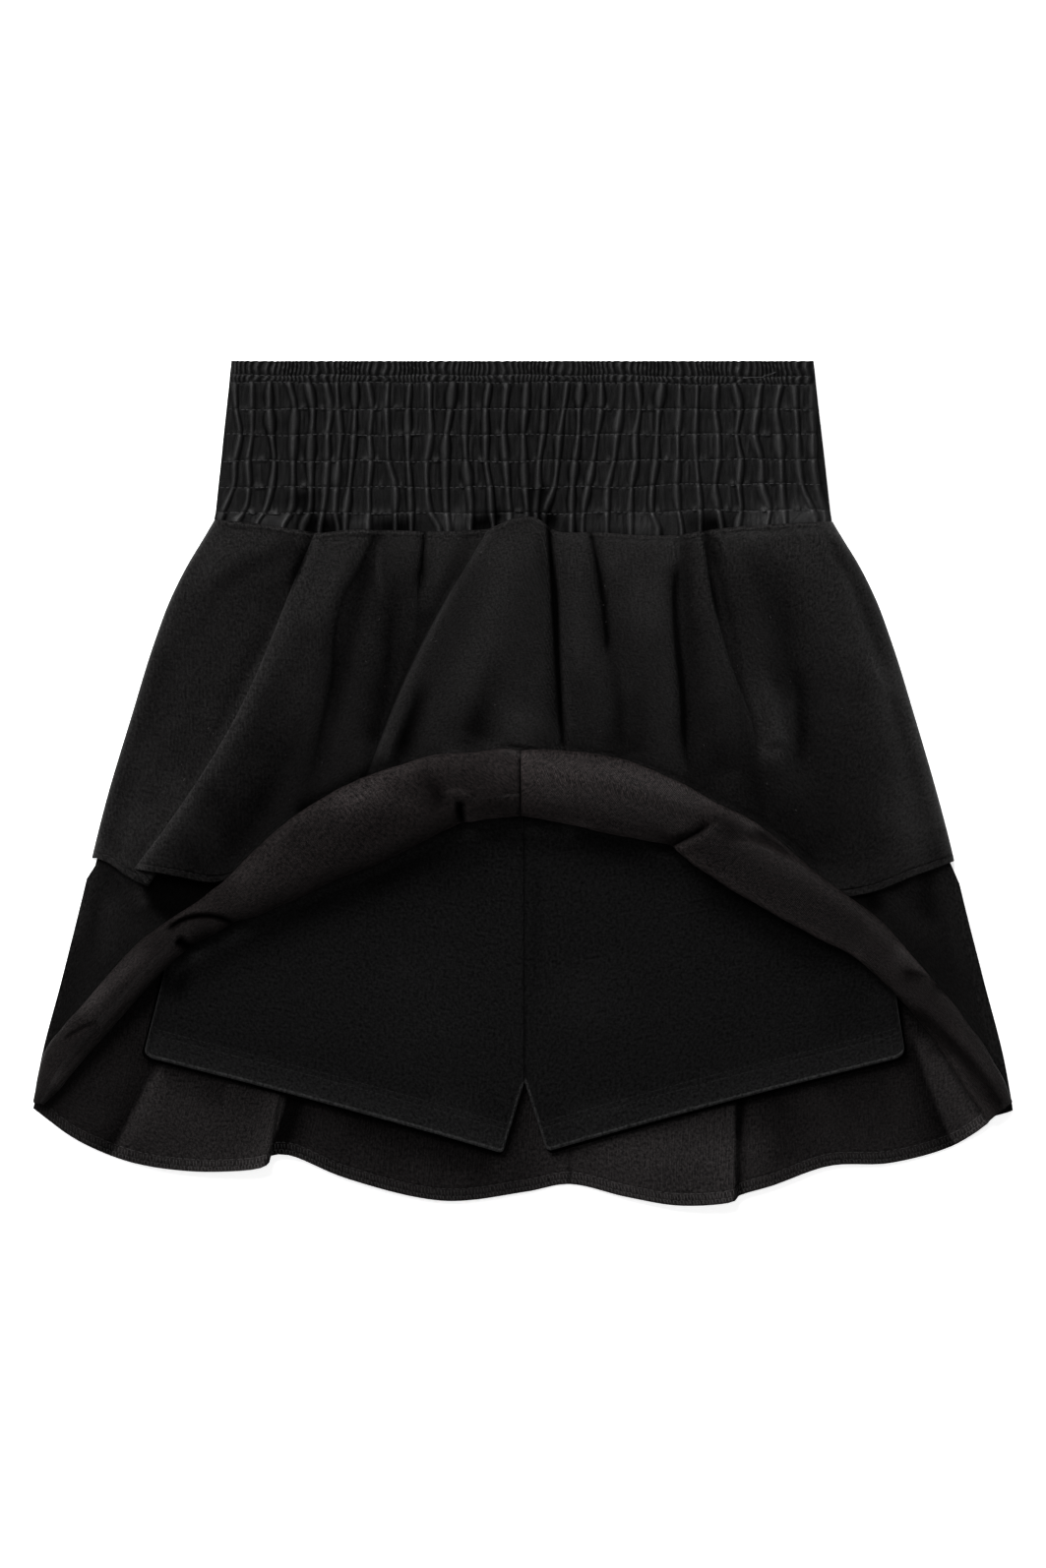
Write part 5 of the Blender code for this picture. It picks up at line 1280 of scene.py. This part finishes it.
def rolled_grid(table, dents, side, columns, flat_rows, round_roll):
    """Half of the lower tier's front: flat from the waist seam to under the roll, out to the
    roll's lower edge, over its top and in under itself. Gives the angles round the roll too."""
    along = columns[:, None]
    up, low, top = roll_sections(table, columns)
    width = np.linalg.norm(up - low, axis=1)[:, None]
    toward = (up - low) / width
    start = (up + low) / 2
    outline = left_side if side < 0 else right_side
    seam_x = CENTRE_X + side * GAP / 2

    def to_side(y, share):
        return seam_x + (outline(y) - side * tier_inset(y) - seam_x) * share

    share_low = ((start[:, :1] - seam_x) / (outline(start[:, 1:]) - seam_x)).clip(0.0, 1.0)
    share_low[0], share_low[-1] = 0.0, 1.0
    top_y = hidden_seam_y(to_side(WAIST_CORNER_Y, along))
    y = top_y + (start[:, 1:] - top_y) * flat_rows
    x = to_side(y, along + (share_low - along) * flat_rows)
    flat = np.stack([x, y, lower_front_z(x, y)], axis=2)

    # round the roll: a wide one turns further in, and each rests on what lies below it
    last = FOLD_ANGLE + (ROLL_ANGLE - FOLD_ANGLE) * smooth((width - FOLD_WIDTH) / (FULL_WIDTH - FOLD_WIDTH))
    share_in = ((round_roll - IN_FROM) / (1 - IN_FROM)).clip(0.0)
    angle = np.minimum(round_roll / IN_FROM, 1.0) * SHOWN_TO + (last - SHOWN_TO) * share_in
    turn = np.radians(angle)
    start_z = flat[:, -1:, 2]
    resting = start_z + ON_TOP + GAP + ROLL_ON_FOLDS * (1 - smooth((along - OFF_TIER_FROM) / OFF_TIER_OVER))
    base = np.where(angle < 180.0, start_z, resting)
    inward = 1.0 - TIGHTER * smooth((angle - TIGHTER_FROM) / (ROLL_ANGLE - TIGHTER_FROM))
    inward = inward - dent_depth(dents, along, angle) / (width / 2)
    z = base + (top[:, None] - base) / 2 * (1 - inward * np.cos(turn))
    settle = smooth(angle / SETTLE_ANGLE)[..., None]
    middle = start[:, None] * settle + flat[:, -1:, :2] * (1 - settle)
    out = -(width - TIER_WALL) / 2 * inward * np.sin(turn)
    roll = np.concatenate([middle + toward[:, None] * out[..., None], z[..., None]], axis=2)
    return np.concatenate([flat, roll], axis=1), np.concatenate([np.zeros_like(x), angle], axis=1)


def lower_front_sheet(side):
    table, dents = (ROLL_LEFT, DENTS_LEFT) if side < 0 else (ROLL_RIGHT, DENTS_RIGHT)
    columns, flat_rows = np.linspace(0.0, 1.0, ROLL_COLUMNS), spaced((0.5, 6), (0.68, 8), (1.0, 20))
    mid, angle = rolled_grid(table, dents, side, columns, flat_rows, spaced((1.0, ROLL_ROWS))[1:])
    shown = smooth((angle - 40.0) / 50.0) * smooth((300.0 - angle) / 30.0)
    lump = ripple(mid, (0.5, 19.0, 4 + side), (0.2, 7.0, 6 + side))
    mid = mid - normals(mid) * (lump * shown)[..., None]
    mid[..., 2] += creased(mid, ROLL_CREASES) * shown
    flat = 1 - smooth(angle / 10.0)
    room = lower_back_z(mid[..., 0], mid[..., 1]) + TIER_WALL + 0.1
    dipped = np.maximum(mid[..., 2] + creased(mid, SIDE_CREASES) * flat, np.minimum(mid[..., 2], room))
    mid[..., 2] = np.where(flat > 0, dipped, mid[..., 2])
    mid[0, :, 0] = CENTRE_X + side * GAP / 2
    return (mid, angle) if side > 0 else (mid[::-1], angle[::-1])


def back_line_points(row, below):
    """The points down one line of the lower tier's back; below are shares of its last stretch."""
    share, hem_share = np.clip(
        [share_across(row.line_x, BACK_LINES_Y), share_across(row.hem_x, row.hem_y)], 0.0, 1.0)
    y = np.concatenate([
        np.linspace(hidden_seam_y(tier_x(WAIST_CORNER_Y, share)), HEM_ROWS_Y[0], 6),
        np.linspace(HEM_ROWS_Y[1], BACK_LINES_Y, 14),
        BACK_LINES_Y + (row.hem_y - BACK_LINES_Y) * below[1:],
    ])
    t = ((BACK_LINES_Y - y) / (BACK_LINES_Y - row.hem_y)).clip(0.0, 1.0)
    x = tier_x(y, share + (hem_share - share) * t, tier_inset(y))
    fade = smooth((BACK_FLAT_Y - y) / (BACK_FLAT_Y - BACK_LINES_Y))
    rise = row.line_rise * fade + (row.hem_rise - row.line_rise) * t**FLUTE_CURL
    return np.stack([x, y, lower_back_z(x, y) + rise], axis=1)


def lower_back_sheet():
    """The lower tier's back, flat under the shorts and fluted at its hem."""
    below = spaced((0.75, 30), (0.9, 12), (1.0, 24))
    mid = across(np.stack([back_line_points(row, below) for row in BACK_LINES]), BACK_STEP)
    free = smooth((BACK_FREE_Y - mid[..., 1]) / 30.0)
    hem = from_end(mid)
    mid[..., 2] += (ripple(mid, (0.3, 15.0, 8), (0.1, 5.0, 9)) + 0.25) * free
    mid[..., 2] += 0.14 * smooth((6.6 - hem) / 0.8) - 0.26 * bell((hem - 6.2) / 0.5)
    mid[..., 2] += 0.12 * np.sin(mid[..., 0] * 1.8) * (hem < 6) - 0.25 * bell((hem - 2.4) / 0.5)
    return mid


def lower_back_threads(mid, half):
    """The hem's overlock: two rows of dashes, the loops between them and those at its edge."""
    columns = np.arange(1.0, len(mid) - 1.0)
    high, low, edge = [rows_at(mid, at)[1:-1] for at in OVERLOCK_ROWS]
    i, j = stitch_row(mid, columns, high, OVERLOCK_LOOP)
    down = np.linspace(0.0, 1.0, i.shape[1])
    to_low, to_edge = np.interp(i, columns, low), np.interp(i, columns, edge)
    return [
        (mid, half, *stitch_row(mid, columns, high, OVERLOCK_HIGH)),
        (mid, half, *stitch_row(mid, columns, low, OVERLOCK_LOW)),
        (mid, half, i, j + (to_low - j) * down),
        (mid, half, i + 0.8, to_low + (to_edge - to_low) * down),
    ]


def upper_back_sheet():
    u = np.linspace(0.0, 1.0, 90)[:, None]
    v = np.linspace(0.0, 1.0, 40)[None]
    top_y = hidden_seam_y(tier_x(WAIST_CORNER_Y, u))
    low_x = UPPER_CORNER_LEFT[0] + (UPPER_CORNER_RIGHT[0] - UPPER_CORNER_LEFT[0]) * u
    y = top_y + (upper_back_hem(low_x) - top_y) * v
    return np.stack([tier_x(y, u), y, np.full_like(y, UPPER_BACK_Z)], axis=2)


# ---- shorts ----
def rounded(share):
    """How far a corner's round stands in, from 1 at its start to 0 at its end."""
    return 1 - np.sqrt(1 - (1 - share).clip(0, 1) ** 2)


def shorts_grid(side, z, below, u, v):
    """One panel of the shorts, u from its outer edge to the centre and v from waist to hem,
    with the leg's corners rounded."""
    word = "left" if side < 0 else "right"
    inner_x, inner_y = LEG_HEM_INNER[word]
    u = u[:, None]
    seam_x = CROTCH_X + side * GAP / 2

    def outer_x(y):
        return table_curve(y, SHORTS_SIDES, "y", word)

    top_y = hidden_seam_y(seam_x + (outer_x(SHORTS_SIDES[0].y) - seam_x) * (1 - u))
    round_off = LEG_CORNER * (rounded(u / LEG_ROUND_OUTER) + rounded((1 - u) / LEG_ROUND_INNER) / 2)
    hem_y = LEG_HEM_OUTER_Y + (inner_y - LEG_HEM_OUTER_Y) * u - below + round_off
    y = top_y + (hem_y - top_y) * v
    outer = np.where(y < LEG_HEM_OUTER_Y, outer_x(LEG_HEM_OUTER_Y), outer_x(y))
    inner = seam_x + (inner_x - seam_x) * ((CROTCH_Y - y) / (CROTCH_Y - inner_y)).clip(0.0)
    x = outer + (inner - outer) * u
    return np.stack([x, y, np.full_like(x, z)], axis=2)


def shorts_back_sheet(side):
    u = spaced((LEG_ROUND_OUTER, 8), (0.97, 24), (1.0, 8))
    v = spaced((0.8, 10), (1.0, 12))
    mid = shorts_grid(side, SHORTS_BACK_Z, BACK_LEG_BELOW, u, v)
    out = (1 - smooth(u * LEG_WIDTH / 8.0))[:, None] * smooth(v * 2 - 0.6)
    mid[..., 0] += side * LEG_SIDE_BELOW * out
    return mid if side < 0 else mid[::-1]


def shorts_front_sheet(side):
    u = spaced((0.006, 6), (LEG_ROUND_OUTER, 8), (0.97, 96), (0.99, 8), (1.0, 10))
    v = spaced((0.4, 8), (0.9, 60), (0.97, 26), (0.99, 10), (1.0, 10))
    mid = shorts_grid(side, SHORTS_FRONT_Z, 0.0, u, v)
    hem = from_end(mid)
    from_sides = np.minimum(u, 1 - u)[:, None] * LEG_WIDTH
    free = np.where(mid[..., 1] < CROTCH_Y, from_sides, u[:, None] * LEG_WIDTH)
    rise = 0.45 + creased(mid, SHORTS_CREASES) + ripple(mid, (0.16, 24.0, 12))
    rise = rise + 0.3 * smooth((LEG_HEM_ROWS[0] + 1.5 - hem) / 2.0)
    for at in LEG_HEM_ROWS:
        rise = rise - 0.28 * bell((hem - at) / 0.6)
    rise = rise * smooth(np.minimum(from_sides, hem) / 0.9 + 0.2)
    rise = rise + 0.5 * bell((np.minimum(free, hem) - 0.5) / 0.8)
    mid[..., 2] += rise * smooth((roll_upper_y(mid[..., 0]) - 18.0 - mid[..., 1]) / 8.0)
    return mid if side < 0 else mid[::-1]


def shorts_edge_tone(mid, side):
    """A painted highlight along the leg's edges, and the hem's band lighter, most at its edge."""
    hem, far = from_end(mid), run_along(mid)
    outer, inner = (far, far[-1] - far) if side < 0 else (far[-1] - far, far)
    edge = np.minimum(outer, np.where(mid[..., 1] < CROTCH_Y, inner, outer))
    # a painted highlight within about 2 mm of the hem's edge and the leg's sides
    rim_highlight = 1.1 * smooth((2.2 - np.minimum(hem, edge)) / 0.9)
    return (0.1 + 0.26 * (1 - hem / LEG_HEM_ROWS[0])) * smooth(LEG_HEM_ROWS[0] - hem) + rim_highlight


def shorts_threads(mid, half):
    """The leg hem's twin rows."""
    columns = np.arange(6.0, len(mid) - 6.0)
    rows = [rows_at(mid, at)[6:-6] for at in LEG_HEM_ROWS]
    return [(mid, half, *stitch_row(mid, columns, row, LEG_STITCH)) for row in rows]


def lint(mid, half, count, seed):
    """Short fibres that lie anywhere on a sheet."""
    k = np.arange(count)
    i = (0.04 + 0.92 * scatter(k, seed)) * len(mid)
    j = (0.05 + 0.8 * scatter(k, seed + 1.0)) * mid.shape[1]
    turn = scatter(k, seed + 2.0)[:, None] * 6.3
    out = np.linspace(-0.5, 0.5, 4) * (0.4 + 0.7 * scatter(k, seed + 3.0))[:, None]
    bend = np.array([0.0, 0.2, 0.2, 0.0])
    return mid, half, i[:, None] + out * np.cos(turn), j[:, None] + out * np.sin(turn) + bend


# ---- scene ----
KNIT_OUT = Knit((0.0010, 0.0009, 0.0009), (0.0098, 0.0091, 0.0090), 0.50, 0.10, 1.0, 0.7)
KNIT_IN = Knit((0.0012, 0.0009, 0.0009), (0.0122, 0.0095, 0.0094), 0.52, 0.08, 1.0, 0.8)
KNIT_BACK = Knit((0.0011, 0.0009, 0.0009), (0.0114, 0.0098, 0.0098), 0.52, 0.08, 1.0, 0.8)
JERSEY = Knit((0.0011, 0.0011, 0.0011), (0.0086, 0.0086, 0.0087), 0.6, 0.05, 0.9, 0.6)


def put(piece, node):
    """Rides the piece on the garment's body in its node's place, and hides the node's own part."""
    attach(piece, "root")
    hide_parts(node)


def threads(name, runs, thread, material, tone=0.5):
    """A mesh of threads on the garment's body."""
    piece = thread_mesh(name, runs, thread, material, tone)
    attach(piece, "root")


def build_backs(knit, hem_thread):
    upper_back = sheet_mesh("upper_back_cloth", upper_back_sheet(), TIER_WALL, [knit])
    put(upper_back, "upper_tier_back")
    mid = lower_back_sheet()
    # painted light and shade: the relief's own, and BACK_TONES' light on the flutes and shade beside them
    tone = (painted_relief_shade(mid[..., 2], 0.1) + creased(mid, BACK_TONES)).clip(DARKEST, 1.4)
    inner = knit_material("back_knit_inner", KNIT_BACK)
    lower_back = sheet_mesh("lower_back_cloth", mid, TIER_WALL, [inner, knit], tone)
    put(lower_back, "lower_tier_back")
    runs = lower_back_threads(mid, TIER_WALL / 2)
    threads("lower_back_stitches", runs, OVERLOCK_THREAD, hem_thread, tone - 0.3)


def build_shorts(side, word, jersey):
    """The back and front of one leg. Gives the hem's stitches."""
    # the back's cloth is painted at the least tone, so its strip that shows beside and below the front is a
    # painted contact shadow
    back = sheet_mesh("shorts_back_cloth_" + word, shorts_back_sheet(side), SHORTS_WALL, [jersey], 0.0)
    put(back, "shorts_back_" + word)
    mid = shorts_front_sheet(side)
    # painted light and shade from SHORTS_TONES, and a painted highlight along the edges
    tone = (0.49 + creased(mid, SHORTS_TONES) + shorts_edge_tone(mid, side)).clip(DARKEST, 2.2)
    front = sheet_mesh("shorts_front_cloth_" + word, mid, SHORTS_WALL, [jersey], tone)
    put(front, "shorts_front_" + word)
    return shorts_threads(mid, SHORTS_WALL / 2)


def build_lower_front(side, word, knit, knit_inner):
    mid, angle = lower_front_sheet(side)
    flat = 1 - smooth((angle - 30.0) / 20.0)
    # painted light and shade: on the roll from ROLL_TONES and its creases, on the flat sides from SIDE_TONES
    # less a little, and painted shade in the pocket under the upper tier
    rolled = creased(mid, ROLL_TONES) + 0.12 * creased(mid, ROLL_CREASES)
    pocket = creased(mid, [POCKET_SHADE]) * smooth(8.0 - mid[..., 2])
    tone = 0.52 + rolled * (1 - flat) + (creased(mid, SIDE_TONES) - 0.06) * flat + pocket
    tone = tone.clip(DARKEST, 2.4)
    centre = 0 if side > 0 else -1
    tier = sheet_mesh("lower_front_cloth_" + word, mid, TIER_WALL, [knit, knit_inner], tone, centre, sparse=1)
    put(tier, "lower_tier_front_" + word)


def build_upper_front(knit, hem_thread):
    half = TIER_WALL / 2
    mid = upper_front_sheet()
    # painted light and shade from the relief and UPPER_TONES, and a painted shade line at the hem's step
    tone = painted_relief_shade(mid[..., 2]) + creased(mid, UPPER_TONES)
    tone = (tone - 0.3 * bell((from_end(mid) - UPPER_HEM_STEP) / 0.7)).clip(DARKEST, 1.0)
    upper_front = sheet_mesh("upper_front_cloth", mid, TIER_WALL, [knit], tone)
    put(upper_front, "upper_tier_front")
    threads("upper_stitches", upper_threads(mid, half), TIER_THREAD, hem_thread, tone - 0.42)
    fibre = thread_material("lint_fibre", (0.16, 0.15, 0.15))
    threads("lint", [lint(mid, half, 50, 3.0)], LINT, fibre)


def build_band():
    woven = woven_material("band_weave", (0.0008, 0.0008, 0.0009), (0.0050, 0.0048, 0.0050))
    band_thread = thread_material("band_thread", (0.060, 0.060, 0.062))
    mid, tone = band_grid(BAND_COLUMNS[0], ROW_STEPS, BAND_TUCK)
    band = sheet_mesh("band_front_cloth", mid, 2 * BAND_HALF, [woven], tone)
    put(band, "waistband_front")
    rows, loose = band_threads(mid)
    threads("band_stitches", rows, BAND_THREAD, band_thread)
    threads("loose_thread", loose, LOOSE_THREAD, band_thread)
    mid, _ = band_grid(BAND_COLUMNS[1], ROW_STEPS[::4], 0.0)
    mid[..., 2] = BAND_BACK_Z + (mid[..., 2] - mid[..., 2].min()) * BAND_BACK_HEIGHT
    band_back = sheet_mesh("band_back_cloth", mid, 2 * BAND_HALF, [woven])
    put(band_back, "waistband_back")


def build():
    knit = knit_material("tier_knit", KNIT_OUT)
    knit_inner = knit_material("tier_knit_inner", KNIT_IN)
    jersey = knit_material("shorts_jersey", JERSEY)
    hem_thread = thread_material("hem_thread", (0.040, 0.037, 0.037))
    leg_thread = thread_material("leg_thread", (0.014, 0.014, 0.014))
    build_backs(knit, hem_thread)
    leg_runs = []
    for side, word in ((-1, "left"), (1, "right")):
        leg_runs += build_shorts(side, word, jersey)
        build_lower_front(side, word, knit, knit_inner)
    threads("shorts_stitches", leg_runs, LEG_THREAD, leg_thread)
    build_upper_front(knit, hem_thread)
    build_band()


def stage():
    mesh = bpy.data.meshes.new("floor")
    size, low = 3.0, -0.0002
    corners = [(-size, -size, low), (size, -size, low), (size, size, low), (-size, size, low)]
    mesh.from_pydata(corners, [], [(0, 1, 2, 3)])
    mesh.materials.append(floor_material())
    floor = bpy.data.objects.new("floor", mesh)
    bpy.context.scene.collection.objects.link(floor)


# ---- light and camera ----
LAMPS = named("name strength width toward", [
    ("key", 6.3, 40, (0.36, -0.70, -0.62)),
    ("low", 0.8, 40, (0.45, 0.80, -0.40)),
])
FILL = 0.2
PHOTO_HIGH_PX = 1594
PX = 0.5 * MM  # one pixel of the photograph on the cloth
SENSOR = 36.0
LENS = 120.0
CAMERA_AIM = Vector((0.25 * MM, -0.25 * MM, 0.006))


def light_and_camera():
    scene = bpy.context.scene
    scene.view_settings.view_transform = "Standard"
    scene.world = bpy.data.worlds.new("studio")
    scene.world.use_nodes = True
    background = scene.world.node_tree.nodes["Background"]
    background.inputs["Color"].default_value = (1.0, 1.0, 1.0, 1.0)
    background.inputs["Strength"].default_value = FILL
    for row in LAMPS:
        light = bpy.data.lights.new(row.name, "SUN")
        light.energy = row.strength
        light.angle = math.radians(row.width)
        lamp = bpy.data.objects.new(row.name, light)
        lamp.rotation_euler = Vector(row.toward).to_track_quat("-Z", "Y").to_euler()
        scene.collection.objects.link(lamp)
    camera = bpy.data.cameras.new("camera")
    camera.sensor_width = SENSOR
    camera.lens = LENS
    camera.clip_end = 50.0
    eye = bpy.data.objects.new("camera", camera)
    eye.location = CAMERA_AIM + Vector((0.0, 0.0, PHOTO_HIGH_PX * PX * LENS / SENSOR))
    scene.collection.objects.link(eye)
    scene.camera = eye


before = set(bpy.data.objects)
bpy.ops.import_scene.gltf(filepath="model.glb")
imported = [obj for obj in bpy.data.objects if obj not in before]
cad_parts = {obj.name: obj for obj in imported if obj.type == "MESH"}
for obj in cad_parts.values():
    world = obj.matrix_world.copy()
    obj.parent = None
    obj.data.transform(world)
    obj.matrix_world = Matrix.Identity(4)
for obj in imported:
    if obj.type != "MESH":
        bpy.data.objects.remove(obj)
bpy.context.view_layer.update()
build()
stage()
light_and_camera()
